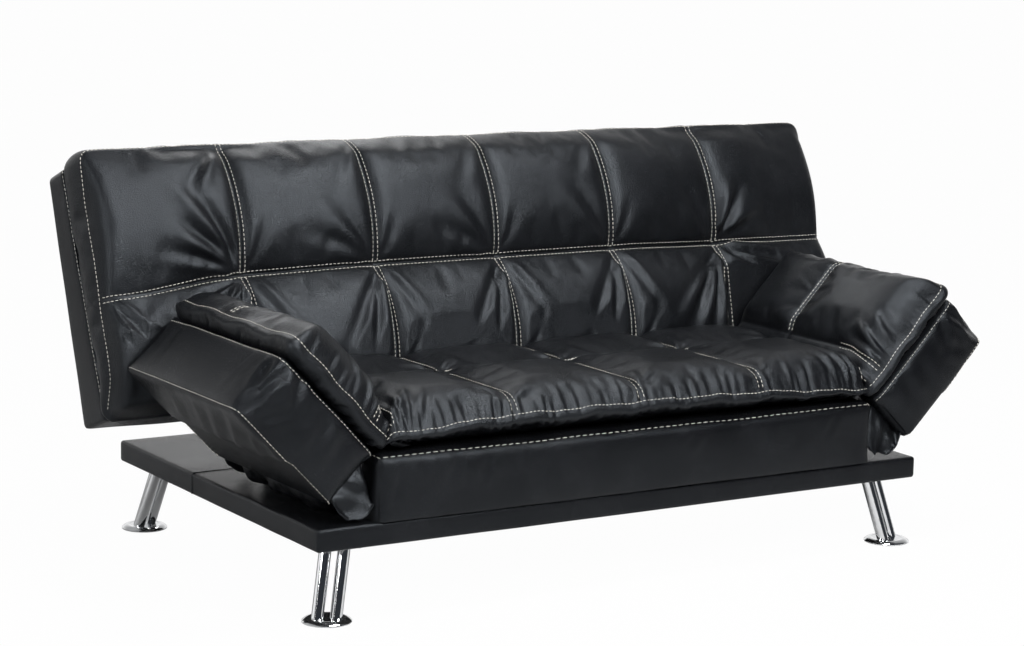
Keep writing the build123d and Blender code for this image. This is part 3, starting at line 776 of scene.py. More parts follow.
class Filled:
    """A finished cover, with what it takes to sew on it."""

    def __init__(self, name, cover, place, body, slack, folds, pressed=None):
        self.cover, self.place, self.body = cover, place, body
        self.obj, held = cover.build(name, finishes["pad_leather"])
        fill(self.obj, held, slack)
        refine(self.obj)
        radiate(self.obj, folds)
        if pressed:
            set_coordinates(self.obj, pressed(coordinates(self.obj)))
        if body == "backrest":
            cut_slots(self.obj)
        close_and_place(self.obj, place)
        self.surface = surface_of(self.obj)

    def sew_a(self, at, first, last, body=None):
        """A row along b, at a place on a."""
        b = run_of(first, last)
        sew(body or self.body, self.surface, self.place, self.cover.point(np.full(len(b), at), b))

    def sew_b(self, at, first, last):
        """A row along a, at a place on b."""
        a = run_of(first, last)
        sew(self.body, self.surface, self.place, self.cover.point(a, np.full(len(a), at)))

    def sew_edge(self, corners, depth):
        """A row round the side, at a share of its depth, through plan corners."""
        a, b = runs_through(corners).T
        sew(self.body, self.surface, self.place, self.cover.side(a, b, depth))


def constant(value):
    """A height that is the same all over a cover."""
    return lambda a, b: np.full(np.shape(a), value)


def back_box_face(s):
    """Height of the back box's front, which slopes back towards its upper end."""
    return BACK_BOX_DEPTH - BACK_BOX_TAPER * np.clip(s / BACK_BOX_LENGTH, 0, 1)


class FUTON_OT_back_pad(bpy.types.Operator):
    """Make the back's twelve-panel pad"""
    bl_idname = "futon.back_pad"
    bl_label = "Back pad"

    def execute(self, context):
        pitch = padding().panel_pitch
        length, half, row = BACK_LENGTH, BACK_HALF, BACK_ROW
        seams_a = [i * pitch for i in range(-2, 3)]
        low, high = (-half, 0.0), (half, length)

        def bow(b):
            """Height of the seams up the back: each row of panels bows forwards between its ends."""
            at_row, forward = 0.253, 0.142
            up = np.clip((b - row) / (length - row), 0, 1)
            down = np.clip((row - b) / row, 0, 1)
            return at_row - 0.024 * up + forward * up * (1 - up) + 0.010 * down + forward * down * (1 - down)

        def beside_arm(a):
            """From 0 between the arms to 1 behind them."""
            return smooth((np.abs(a) - 0.57) / 0.05)

        def valley(a, b):
            """The seams stay back at the ends, and beside the arms."""
            lowered = bow(b) - 0.025 * smooth((np.abs(a) - 0.33) / 0.28)
            return np.minimum(lowered, 0.232 + 0.36 * b + 0.1 * (1 - beside_arm(a)))

        def crown(a, b):
            """The panels stand over the seams, less towards the ends, and not beside the arms."""
            pressed = beside_arm(a) * smooth((0.16 - b) / 0.08)
            sloping = 0.024 * smooth((np.abs(a) - 0.66) / 0.26)
            return valley(a, b) + 0.020 * (1 - pressed) - sloping

        def clear_of_arms(points):
            """Presses the cover back where it passes the arms as the back comes forward."""
            a, b, n = points.T
            free = 0.06 * smooth((0.615 - np.abs(a)) / 0.05)
            b = np.maximum(b, -0.006 - free)
            n = np.minimum(n, np.minimum(0.2385 + 0.1404 * b, 0.2330 + 0.364 * b) + free)
            return np.stack([a, b, n], -1)

        def dipped(a, b):
            """The seam along the back sags towards the left end, and the right end bulges out."""
            out = 0.018 * smooth((a - 0.72) / 0.20) * smooth(b / 0.15)
            return a + out, b - 0.030 * smooth((-0.60 - a) / 0.32) * np.exp(-((b - row) / 0.12) ** 2)

        cover = Cover(
            low, high, seams_a, [row],
            edge=lambda a, b: (
                0.203 + 0.008 * smooth((b - 0.50) / 0.06) * smooth((half - np.abs(a)) / 0.08)
                - 0.042 * smooth((0.09 - b) / 0.09) + 0.003 * np.sin(a * 23 + b * 31)
            ),
            valley=valley, crown=crown,
            foot=lambda a, b: back_box_face(b) + 0.002,
            tuck=0.010, bulge=0.010, corner=0.026, roll=0.050, skew=dipped,
        )
        end, inner = seams_a[-1], seams_a[1:-1]
        folds = [
            ((x + a0, row + b0), (x + a1, row + b1), width, depth)
            for x, (a0, b0), (a1, b1), width, depth in (
                *((x, (-0.012, 0.012), (-0.13, 0.19), 0.020, 0.0065) for x in inner),
                *((x, (-0.012, 0.010), (-0.22, 0.10), 0.017, 0.0043) for x in inner[:2]),
                *((x, (0.012, 0.012), (0.06, 0.13), 0.015, 0.0049) for x in inner),
                *((x, (-0.012, 0.28), (-0.10, 0.14), 0.018, 0.0038) for x in inner),
                *((x, (-0.010, -0.012), (-0.07, -0.25), 0.016, 0.0123) for x in inner),
                *((x, (-0.012, -0.012), (-0.16, -0.26), 0.018, 0.0090) for x in inner),
                *((x, (0.012, -0.010), (0.09, -0.20), 0.015, 0.0052) for x in inner),
                *((x, (0.012, -0.24), (0.10, -0.10), 0.014, 0.0052) for x in inner),
                (end, (-0.010, -0.012), (-0.09, -0.26), 0.016, 0.0167),
                (end, (-0.014, -0.012), (-0.18, -0.26), 0.018, 0.0167),
                (end, (-0.014, -0.016), (-0.24, -0.20), 0.016, 0.0087),
                (end, (-0.004, -0.030), (-0.030, -0.24), 0.011, 0.0101),
                (end, (-0.014, 0.012), (-0.12, 0.16), 0.018, 0.0046),
                (end, (0.012, 0.012), (0.09, 0.15), 0.015, 0.0159),
                (end, (0.012, 0.010), (0.17, 0.07), 0.015, 0.0065),
                (end, (0.012, -0.008), (0.22, -0.06), 0.012, 0.0138),
                (end, (0.012, -0.012), (0.18, -0.11), 0.012, 0.0116),
                (-end, (-0.012, 0.012), (-0.13, 0.24), 0.018, 0.0174),
                (-end, (-0.012, 0.010), (-0.18, 0.15), 0.016, 0.0152),
                (-end, (-0.012, 0.008), (-0.22, 0.07), 0.013, 0.0080),
                (-end, (-0.030, 0.28), (-0.13, 0.16), 0.016, 0.0072),
                (-end, (0.012, 0.012), (0.07, 0.14), 0.015, 0.0049),
                (-end, (-0.012, -0.008), (-0.17, -0.07), 0.011, 0.0109),
                (-end, (-0.010, -0.010), (-0.09, -0.10), 0.010, 0.0109),
                (-end, (-0.006, -0.012), (-0.04, -0.13), 0.010, 0.0101),
                (-end, (-0.30, -0.03), (-0.20, -0.20), 0.014, 0.0087),
                (-end, (-0.30, -0.09), (-0.23, -0.25), 0.013, 0.0087),
                (-end, (0.012, -0.012), (0.10, -0.22), 0.016, 0.0058),
            )
        ]
        pad = Filled("back_pad_cover", cover, BACK_PLACE, "backrest", 0.4, folds, clear_of_arms)
        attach(pad.obj, "backrest")
        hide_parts("back_pad")
        gap = stitching().row_gap / 2
        for x in seams_a:
            for way in BOTH_WAYS:
                pad.sew_a(x + way * gap, 0.050, row - 0.009)
                pad.sew_a(x + way * gap, row + 0.009, length - 0.002)
        for way in BOTH_WAYS:
            pad.sew_b(row + way * gap, -half + 0.002, half - 0.002)
        pad.sew_edge([(low[0], 0.020), (low[0], high[1]), high, (high[0], 0.020)], 0.04)
        return {"FINISHED"}


class FUTON_OT_seat_pad(bpy.types.Operator):
    """Make the seat's eight-panel pad"""
    bl_idname = "futon.seat_pad"
    bl_label = "Seat pad"

    def execute(self, context):
        pitch = padding().panel_pitch
        half, row = SEAT_HALF, SEAT_ROW
        low, high = (-half, PAD_FRONT), (half, REAR)
        seams_a = [-pitch, 0.0, pitch]
        cover = Cover(
            low, high, seams_a, [row],
            edge=seat_edge, valley=constant(0.089), crown=constant(0.108),
            foot=constant(0.020), tuck=0.034, bulge=0.010, corner=0.010, roll=0.040, drop=0.019,
        )
        folds = []
        rng = np.random.default_rng(5)
        for x in (-half, *seams_a, half):
            for b, up in ((row, -1), (row, 1), (low[1] + 0.006, 1)):
                for way in BOTH_WAYS:
                    for turn in (28, 62):
                        turn = math.radians(turn + rng.uniform(-12, 12))
                        reach = rng.uniform(0.06, 0.13)
                        folds.append((
                            (x + way * 0.010, b + up * 0.008),
                            (x + way * reach * math.cos(turn), b + up * reach * math.sin(turn)),
                            rng.uniform(0.009, 0.013), rng.uniform(0.003, 0.0060),
                        ))
        for x in np.arange(-half + 0.02, half, 0.027):
            x += rng.uniform(-0.008, 0.008)
            reach = rng.uniform(0.015, 0.055)
            folds.append((
                (x, low[1] - 0.006), (x + rng.uniform(-0.012, 0.012), low[1] + reach),
                rng.uniform(0.006, 0.009), rng.uniform(0.0008, 0.0055),
            ))
        for way in BOTH_WAYS:
            for inward, reach, depth in (
                (0.006, 0.09, 0.006), (0.020, 0.10, 0.006), (0.036, 0.11, 0.005), (0.056, 0.10, 0.005),
                (0.080, 0.08, 0.004),
            ):
                start = (way * (half - inward), low[1] - 0.004)
                folds.append((start, (way * (half - inward * 1.7), low[1] + reach), 0.0085, depth))
        pad = Filled("seat_pad_cover", cover, SEAT_PLACE, "base", 0.8, folds)
        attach(pad.obj, "base")
        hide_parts("seat_pad")
        gap = stitching().row_gap / 2
        for x in seams_a:
            for way in BOTH_WAYS:
                pad.sew_a(x + way * gap, low[1] + 0.002, row - 0.009)
                pad.sew_a(x + way * gap, row + 0.009, high[1] - 0.002)
        for way in BOTH_WAYS:
            pad.sew_b(row + way * gap, -half + 0.008, half - 0.008)
            pad.sew_a(way * (half - gap / 2), low[1] + 0.004, low[1] + 0.13)
            pad.sew_a(way * (half - 2.5 * gap), low[1] + 0.004, low[1] + 0.13)
        pad.sew_edge([low, (high[0], low[1])], 0.03)
        return {"FINISHED"}


def fold_height(b):
    """Height over the seat box of the seam where the seat pad and an arm pad are sewn together."""
    return 0.036 + 0.026 * smooth((b - FRONT) / 0.09)


def seat_edge(a, b):
    """Height of the seat pad's edge seam over the seat box: lower towards the ends of the front."""
    end = smooth((np.abs(a) - 0.30) / 0.30)
    front = 0.062 - 0.014 * end - 0.010 * smooth(a / 0.5)
    front = front + 0.0018 * np.sin(a * 41) + 0.0008 * np.sin(a * 97 + 1)
    near_front = smooth((FRONT + 0.07 - b) / 0.07)
    at_fold = np.abs(a) > SEAT_HALF - 0.0001
    return np.where(at_fold, fold_height(b), front * near_front + 0.068 * (1 - near_front))


class FUTON_OT_arm_pads(bpy.types.Operator):
    """Make the pads of the two arms, sewn to the seat pad along the fold"""
    bl_idname = "futon.arm_pads"
    bl_label = "Arm pads"

    def execute(self, context):
        tip, row = ARM_TIP, SEAT_ROW
        right = ARM_PLACE["right"].inverted()

        def fold_line(b):
            """The fold in the arm's flat frame: how far out and how high."""
            spots = [right @ Vector((SEAT_HALF, y, SEAT_TOP + h)) for y, h in zip(b, fold_height(b))]
            return np.array([(p.x, p.z) for p in spots])

        def skew(a, b):
            """The pad starts at the fold, which isn't straight."""
            starts = fold_line(np.ravel(b))[:, 0].reshape(np.shape(b))
            return starts + a / tip * (tip - starts), b

        def edge(a, b):
            """The edge seam goes from the fold's height to the tip's."""
            heights = fold_line(np.ravel(b))[:, 1].reshape(np.shape(b))
            return heights + (0.047 - heights) * np.clip(a / tip, 0, 1) + 0.0015 * np.sin(a * 60 + b * 37)

        def valley(a, b):
            """The seams lie lower beside the fold."""
            return 0.086 - 0.012 * smooth((0.09 - a) / 0.06)

        def crown(a, b):
            """The panels stand over the seams, and the strip beside the fold less."""
            return valley(a, b) + 0.006 + 0.012 * smooth((a - 0.05) / 0.03)

        low, high = (0.0, PAD_FRONT), (tip, REAR)
        strip = 0.052                   # from the fold to the seam along the arm
        cover = Cover(
            low, high, [strip], [row],
            edge=edge, valley=valley, crown=crown,
            foot=constant(0.006), tuck=0.016, bulge=0.011, corner=0.014, roll=0.045, drop=0.005, skew=skew,
        )
        for side, sign in SIDES.items():
            folds = []
            rng = np.random.default_rng(31 + sign)
            for b, up in ((row, -1), (row, 1)):
                for a in np.arange(0.05, tip, 0.045):
                    folds.append((
                        (a, b + up * 0.008), (a + rng.uniform(-0.05, 0.05), b + up * rng.uniform(0.05, 0.10)),
                        rng.uniform(0.007, 0.012), rng.uniform(0.001, 0.003),
                    ))
            for a in np.arange(0.14, tip - 0.02, 0.036):
                a += rng.uniform(-0.012, 0.012)
                folds.append((
                    (a, low[1] - 0.004), (a + rng.uniform(-0.012, 0.012), low[1] + rng.uniform(0.015, 0.045)),
                    rng.uniform(0.006, 0.009), rng.uniform(0.0015, 0.0045),
                ))
            for a, turn, reach, depth in (
                (0.010, 1.1, 0.09, 0.005), (0.030, 1.2, 0.07, 0.005), (0.074, 1.4, 0.12, 0.007),
                (0.092, 1.6, 0.09, 0.005), (0.124, 1.5, 0.07, 0.004),
            ):
                folds.append(((a, low[1] - 0.004), (a * turn, low[1] + reach), 0.010, depth))
            for b, reach in ((0.12, 0.05), (0.21, 0.04), (0.35, 0.05), (0.43, 0.04)):
                folds.append(((tip + 0.004, low[1] + b), (tip - reach, low[1] + b + 0.02), 0.009, 0.004))
            pad = Filled(
                f"arm_pad_cover_{side}", cover, ARM_PLACE[side], f"arm_{side}", 0.7, folds,
                pressed=lambda points: np.minimum(points, (np.inf, PASSING, np.inf)),
            )
            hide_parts(f"arm_pad_{side}")
            out = ARM_PLACE[side].to_3x3() @ Vector((1, 0, 0))
            start = Vector((sign * SEAT_HALF, 0, SEAT_TOP + 0.066))
            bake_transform(pad.obj, "base", f"arm_{side}", start, start + out * 0.085)
            gap = stitching().row_gap / 2
            for way in BOTH_WAYS:
                pad.sew_b(row + way * gap, strip + 0.010, tip - 0.002)
            pad.sew_a(gap, low[1] + 0.004, low[1] + 0.13, body="base")
            for way in BOTH_WAYS:
                pad.sew_a(strip + way * gap, low[1] + 0.002, low[1] + 0.12)
            pad.sew_edge([(0.012, low[1]), (tip, low[1]), high, (0.07, high[1])], 0.04)
        return {"FINISHED"}


# ---- leather boxes ----------------------------------------------------------------------------------
class Box:
    """A padded box: rounded edges, and faces that swell a little.

    corner rounds its plan's corners further, top gives its upper face's height along Y, and a square foot
    keeps its lower edges sharp.
    """

    def __init__(self, low, high, radius, swell, cell, corner=None, top=None, square_foot=False):
        self.low, self.high, self.radius = np.array(low), np.array(high), radius
        self.swell, self.cell, self.corner, self.top = swell, cell, corner, top
        self.square_foot = square_foot

    def ends(self, axis):
        """Grid lines along an axis: three round each edge and one per cell between."""
        low, high, r = self.low[axis], self.high[axis], self.radius
        turn = [r * (1 - math.cos(math.radians(angle))) for angle in (0, 22, 45, 68)]
        inner = np.linspace(low + r, high - r, max(3, round((high - low - 2 * r) / self.cell)) + 1)
        return np.array([low + t for t in turn] + list(inner) + [high - t for t in reversed(turn)])

    def shape(self, points):
        """Points of the bare box, moved onto the padded one."""
        foot = np.array([self.radius, self.radius, 0 if self.square_foot else self.radius])
        inner = np.clip(points, self.low + foot, self.high - self.radius)
        away = points - inner
        size = np.linalg.norm(away, axis=1, keepdims=True)
        rounded = inner + away / np.maximum(size, 1e-9) * self.radius
        if self.corner:
            level = (rounded[:, 2] - self.low[2]) / (self.high[2] - self.low[2]) * 2 - 1
            rounded[:, 0], rounded[:, 1] = round_corners(
                rounded[:, 0], rounded[:, 1], self.low, self.high, self.corner * (1 - 0.65 * level ** 4))
        share = (rounded - self.low) / (self.high - self.low) * 2 - 1
        bulge = np.clip(1 - share ** 2, 0, 1)
        out = away / np.maximum(size, 1e-9)
        for axis in range(3):
            others = [i for i in range(3) if i != axis]
            height = np.sqrt(bulge[:, others[0]] * bulge[:, others[1]])
            rounded[:, axis] += out[:, axis] * self.swell[axis] * height
        if self.top is not None:
            n = (rounded[:, 2] - self.low[2]) / (self.high[2] - self.low[2])
            rounded[:, 2] = self.low[2] + n * (self.top(rounded[:, 1]) - self.low[2])
        return rounded

    def build(self, name, material):
        """The box as a closed mesh, with a grid of faces on each side."""
        lines = [self.ends(axis) for axis in range(3)]
        shell = bmesh.new()
        for axis in range(3):
            u, v = [i for i in range(3) if i != axis]
            for end in (self.low[axis], self.high[axis]):
                grid = []
                for pu in lines[u]:
                    column = []
                    for pv in lines[v]:
                        p = [0.0, 0.0, 0.0]
                        p[axis], p[u], p[v] = end, pu, pv
                        column.append(shell.verts.new(p))
                    grid.append(column)
                for i in range(len(grid) - 1):
                    for j in range(len(grid[0]) - 1):
                        shell.faces.new((grid[i][j], grid[i + 1][j], grid[i + 1][j + 1], grid[i][j + 1]))
        bmesh.ops.remove_doubles(shell, verts=shell.verts, dist=1e-6)
        obj = new_object(name, [], [], material)
        shell.to_mesh(obj.data)
        shell.free()
        set_coordinates(obj, self.shape(coordinates(obj)))
        return obj

    def row(self, corners):
        """Points of the padded box along straight runs on the bare one."""
        return self.shape(runs_through(corners))


def rumple(obj, amount, size, seed):
    """Moves a surface in and out a little."""
    push_out(obj, ripple(coordinates(obj), size, seed) * amount)


def hold_back(obj, low, high):
    """Presses a piece flat where a neighbour passes it as a joint moves."""
    set_coordinates(obj, np.clip(coordinates(obj), low, high))


def crease(obj, lines):
    """Presses folds into a box: each runs between two points, with a width and a depth."""
    points = coordinates(obj)
    shift = np.zeros(len(points))
    for start, end, width, depth in lines:
        start, end = np.array(start), np.array(end)
        run = end - start
        size = np.linalg.norm(run)
        rel = points - start
        along = rel @ run / size ** 2
        away = np.linalg.norm(rel - np.clip(along, 0, 1)[:, None] * run, axis=1) / width
        ends = smooth(along / 0.25) * smooth((1 - along) / 0.4)
        shift += depth * ends * (0.7 * np.exp(-((away - 1.5) ** 2)) - np.exp(-(away ** 2)))
    push_out(obj, shift)


class FUTON_OT_boxes(bpy.types.Operator):
    """Make the leather boxes of the base, seat, back and arms"""
    bl_idname = "futon.boxes"
    bl_label = "Leather boxes"

    def execute(self, context):
        self.base_board()
        self.seat_box()
        self.back_box()
        self.arm_boxes()
        return {"FINISHED"}

    def base_board(self):
        """The base board's cover, with a seam round each end."""
        low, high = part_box("base_board")
        board = Box(low, high, 0.007, (0.0, 0.0, 0.001), 0.02)
        obj = board.build("base_board_cover", finishes["box_leather"])
        rumple(obj, 0.0004, 0.08, 3)
        self.finish(obj, IN_PLACE, "base", "base_board")
        for side, sign in SIDES.items():
            self.seam_bead(f"base_board_seam_{side}", [
                (sign * 0.60, END_SEAM, high.z), (sign * (high.x - 0.004), END_SEAM, high.z),
                (sign * high.x, END_SEAM, high.z - 0.005), (sign * high.x, END_SEAM, low.z + 0.002),
            ])

    def seat_box(self):
        """The seat box's cover, creased from its upper front edge down."""
        low, high = (list(p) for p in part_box("seat_box"))
        high[2] += 0.005
        seat = Box(low, high, 0.020, (0.004, 0.010, 0.002), 0.011, corner=0.016, square_foot=True)
        obj = seat.build("seat_box_cover", finishes["box_leather"])
        rumple(obj, 0.0015, 0.07, 4)
        rng = np.random.default_rng(8)
        folds = []
        front, z = low[1], high[2]
        for x in (-0.56, -0.52, -0.47, -0.43, -0.36, -0.27, 0.15, 0.33, 0.52):
            lean = rng.uniform(-0.05, 0.02)
            folds.append((
                (x, front, z - 0.012), (x + lean, front, z - rng.uniform(0.06, 0.11)),
                rng.uniform(0.008, 0.014), rng.uniform(0.002, 0.004),
            ))
        crease(obj, folds)
        hold_back(obj, (low[0] - 0.001, -1, 0), (high[0] + 0.001, PASSING, 1))
        surface = self.finish(obj, IN_PLACE, "base", "seat_box")
        rear = high[1] - 0.02
        sew("base", surface, IN_PLACE, seat.row([
            (low[0], rear, z), (low[0], front, z), (high[0], front, z), (high[0], rear, z)]), stretch=1.7)

    def back_box(self):
        """The back box's cover, which is slotted for the click hinges."""
        half, length = BACK_BOX_HALF, BACK_BOX_LENGTH
        low, high = (-half, 0.0, 0.0), (half, length, BACK_BOX_DEPTH)
        back = Box(low, high, 0.013, (0.004, 0.003, 0.006), 0.0125, top=back_box_face)
        obj = back.build("back_box_cover", finishes["box_leather"])
        rumple(obj, 0.0012, 0.12, 5)
        hold_back(obj, (-1, -0.002, -0.003), (1, 1, 1))
        cut_slots(obj)
        surface = self.finish(obj, BACK_PLACE, "backrest", "back_box")
        n = BACK_BOX_DEPTH - ROW_INSET
        sew("backrest", surface, BACK_PLACE, back.row([
            (-half, 0.02, n), (-half, length, n), (half, length, n), (half, 0.02, n)]))

    def arm_boxes(self):
        """The arm boxes' covers, which are pinched at the front corners."""
        low, high = (0.002, FRONT, -0.140), (0.296, REAR, 0.002)
        arm = Box(low, high, 0.012, (0.010, 0.012, 0.008), 0.009, corner=0.038)
        tip, under, over, front = high[0], low[2], high[2], low[1]
        folds = [
            ((tip - 0.004, front + 0.004, over - 0.012),
             (tip - 0.004, front + 0.004, under + 0.012), 0.010, 0.0040),
            ((tip - 0.026, front, over - 0.002), (tip - 0.010, front, under + 0.030), 0.009, 0.0070),
            ((tip, front + 0.026, over - 0.002), (tip, front + 0.012, under + 0.050), 0.009, 0.0060),
            ((tip - 0.050, front, over - 0.002), (tip - 0.095, front, -0.070), 0.012, 0.0060),
            ((tip - 0.022, front + 0.004, over - 0.004), (tip - 0.050, front, -0.085), 0.010, 0.0045),
            ((tip - 0.090, front, -0.050), (tip - 0.040, front, under + 0.010), 0.012, 0.0040),
            ((tip - 0.150, front, over - 0.010), (tip - 0.190, front, under + 0.020), 0.020, 0.0030),
            ((tip - 0.210, front, over - 0.010), (tip - 0.225, front, under + 0.030), 0.018, 0.0030),
            ((tip - 0.060, front + 0.010, under), (tip - 0.230, front + 0.150, under), 0.014, 0.0060),
            ((tip - 0.020, front + 0.040, under), (tip - 0.200, front + 0.230, under), 0.016, 0.0060),
            ((tip - 0.010, front + 0.110, under), (tip - 0.180, front + 0.300, under), 0.014, 0.0050),
            ((tip - 0.010, front + 0.190, under), (tip - 0.170, front + 0.350, under), 0.013, 0.0050),
            ((tip - 0.010, front + 0.290, under), (tip - 0.150, front + 0.430, under), 0.014, 0.0050),
            ((tip, front + 0.070, over - 0.006), (tip, front + 0.090, under + 0.030), 0.014, 0.0030),
            ((tip, front + 0.430, over - 0.006), (tip, front + 0.400, under + 0.020), 0.014, 0.0030),
        ]
        for side in SIDES:
            obj = arm.build(f"arm_box_cover_{side}", finishes["box_leather"])
            crease(obj, folds)
            rumple(obj, 0.0022, 0.11, 6)
            u, y, n = coordinates(obj).T
            lowest = -0.1305 - 0.04 * (1 - smooth((0.170 - u) / 0.036))     # higher over the base board
            clear = [np.maximum(u, 0.0045), np.minimum(y, PASSING), np.maximum(n, lowest)]
            set_coordinates(obj, np.stack(clear, -1))
            body = f"arm_{side}"
            surface = self.finish(obj, ARM_PLACE[side], body, f"arm_box_{side}")
            for n in (over - ROW_INSET, under + ROW_INSET):
                sew(body, surface, ARM_PLACE[side], arm.row([
                    (low[0], front, n), (tip, front, n), (tip, high[1], n), (low[0], high[1], n)]))

    def seam_bead(self, name, run):
        """A raised seam in the leather of the base board."""
        drawn = lines_curve(name, [(run, 1.0)])
        drawn.data.bevel_depth, drawn.data.bevel_resolution = 0.0014, 2
        obj = drawn_mesh(drawn, name)
        obj.data.materials.clear()
        obj.data.materials.append(finishes["box_leather"])
        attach(obj, "base")

    def finish(self, obj, place, body, node):
        """Puts a box in its place, in its node's stead, and gives its surface to sew on."""
        close_and_place(obj, place)
        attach(obj, body)
        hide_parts(node)
        return surface_of(obj)


class FUTON_OT_gussets(bpy.types.Operator):
    """Make the slack cloth under each raised arm"""
    bl_idname = "futon.gussets"
    bl_label = "Gussets"

    def execute(self, context):
        for side, sign in SIDES.items():
            low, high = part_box(f"arm_gusset_{side}")
            inner, outer = (low.x, high.x) if sign > 0 else (high.x, low.x)
            top_in, top_out = SEAT_TOP - 0.094, high.z - 0.002
            near = np.linspace(0, 0.035, 18)                # finer rows at the front and the rear
            middle = np.linspace(low.y + near[-1], high.y - near[-1], 84)
            rows = np.concatenate([low.y + near[:-1], middle, high.y - near[-2::-1]])
            out, y = np.meshgrid(np.linspace(0, 1, 28), rows, indexing="ij")
            line = top_in + (top_out - top_in) * out
            cloth = self.hung(sign, inner + (outer - inner) * out, y, out, line)
            faces = grid_faces(np.arange(out.size).reshape(out.shape))
            obj = new_object(f"arm_gusset_cloth_{side}", cloth, faces, finishes["gusset_cloth"])
            shell = obj.modifiers.new("cloth", "SOLIDIFY")
            shell.thickness, shell.offset = 0.0025, 0
            made_final(obj)
            close_and_place(obj, IN_PLACE)
            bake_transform(obj)
            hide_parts(f"arm_gusset_{side}")
        return {"FINISHED"}

    def hung(self, sign, x, y, out, line):
        """Points of a cloth sewn on along both sides: it rests in lumps, and stands in a tent at each end.

        out is the share of the way from the seat box to the arm, and line the height straight across.
        """
        rests, ridge = BASE_TOP + 0.006, 0.2
        hangs = np.sin(math.pi * out)
        z = line + (rests - line) * hangs ** 0.6
        cloth = np.stack([x.ravel(), y.ravel(), z.ravel()], -1)
        lumps = ripple(cloth * (1.4, 1.0, 1.4), 0.040, 40 + sign) * 0.012
        lumps = lumps + ripple(cloth, 0.016, 50 + sign) * 0.004
        soft = (hangs ** 0.7).ravel()
        cloth[:, 2] += np.abs(lumps) * soft
        cloth[:, 0] += sign * ripple(cloth, 0.045, 60 + sign) * 0.012 * soft
        from_end = np.minimum(cloth[:, 1] - y.min(), y.max() - cloth[:, 1])
        gathered = smooth(from_end / 0.030) * smooth((0.090 - from_end) / 0.050)
        slope = np.where(out < ridge, out / ridge, (1 - out) / (1 - ridge)).ravel()
        tent = line.ravel() + (SEAT_TOP - 0.012 - line[0, 0]) * slope ** 0.8
        cloth[:, 2] += gathered * (tent - cloth[:, 2])
        crumpled = smooth((0.050 - from_end) / 0.040) * soft
        cloth[:, 1] += crumpled * ripple(cloth, 0.022, 70 + sign) * 0.006
        cloth[:, 0] += crumpled * ripple(cloth, 0.026, 80 + sign) * 0.007
        return cloth


# ---- stitching --------------------------------------------------------------------------------------
def stitch_tree(material):
    """Node tree that lays one rounded stitch after another along every line of a curve."""
    tree = bpy.data.node_groups.new("Stitch rows", "GeometryNodeTree")
    for name, kind in (
        ("Geometry", "Geometry"), ("Pitch", "Float"), ("Stitch length", "Float"), ("Thickness", "Float"),
        ("Seed", "Int"),
    ):
        tree.interface.new_socket(name, in_out="INPUT", socket_type=f"NodeSocket{kind}")
    tree.interface.new_socket("Geometry", in_out="OUTPUT", socket_type="NodeSocketGeometry")
    g = NodeMaker(tree)
    rows = g.node("NodeGroupInput", output="Geometry")
    thickness, stitch_length, seed = (rows.other(name) for name in ("Thickness", "Stitch length", "Seed"))
    stretch = g.node("GeometryNodeInputRadius")
    spots = g.node("GeometryNodeCurveToPoints", {"mode": "LENGTH"}, {
        "Curve": rows, "Length": rows.other("Pitch") * stretch,
    }, "Points")
    bead = g.node("GeometryNodeMeshUVSphere", {}, {"Segments": 6, "Rings": 4, "Radius": 0.5}, "Mesh")
    size = g.node("ShaderNodeCombineXYZ", {}, {"X": thickness, "Y": thickness, "Z": stitch_length})
    stitch = g.node("GeometryNodeTransform", {}, {"Geometry": bead, "Scale": size})
    aim = g.node("FunctionNodeAlignRotationToVector", {"axis": "Z"}, {"Vector": spots.other("Tangent")})
    lean = g.node("FunctionNodeRandomValue", {"data_type": "FLOAT_VECTOR"}, {
        "Min": (-STITCH_TILT, -STITCH_TILT, 0), "Max": (STITCH_TILT, STITCH_TILT, 0), "Seed": seed,
    }, "Value")
    turn = g.node("FunctionNodeRotateRotation", {"rotation_space": "LOCAL"}, {
        "Rotation": aim, "Rotate By": lean,
    })
    longer = g.node("ShaderNodeCombineXYZ", {}, {"X": 1.0, "Y": 1.0, "Z": stretch})
    copies = g.node("GeometryNodeInstanceOnPoints", {}, {
        "Points": spots, "Instance": stitch, "Rotation": turn, "Scale": longer,
    })
    real = g.node("GeometryNodeRealizeInstances", {}, {"Geometry": copies})
    dressed = g.node("GeometryNodeSetMaterial", {}, {"Geometry": real, "Material": material})
    g.join(dressed, tree.nodes.new("NodeGroupOutput").inputs["Geometry"])
    return tree


class FUTON_OT_stitches(bpy.types.Operator):
    """Sew every row of contrast stitches"""
    bl_idname = "futon.stitches"
    bl_label = "Stitches"

    def execute(self, context):
        sizes = stitching()
        tree = stitch_tree(finishes["thread"])
        sockets = {item.name: item.identifier for item in tree.interface.items_tree if item.in_out == "INPUT"}
        for body, rows in seam_rows.items():
            drawn = lines_curve(f"rows_{body}", rows)
            sewing = drawn.modifiers.new("sewing", "NODES")
            sewing.node_group = tree
            sewing[sockets["Pitch"]] = sizes.pitch
            sewing[sockets["Stitch length"]] = sizes.stitch
            sewing[sockets["Thickness"]] = sizes.thickness
            sewing[sockets["Seed"]] = sizes.seed
            obj = drawn_mesh(drawn, f"stitches_{body}")
            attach(obj, body)
        return {"FINISHED"}


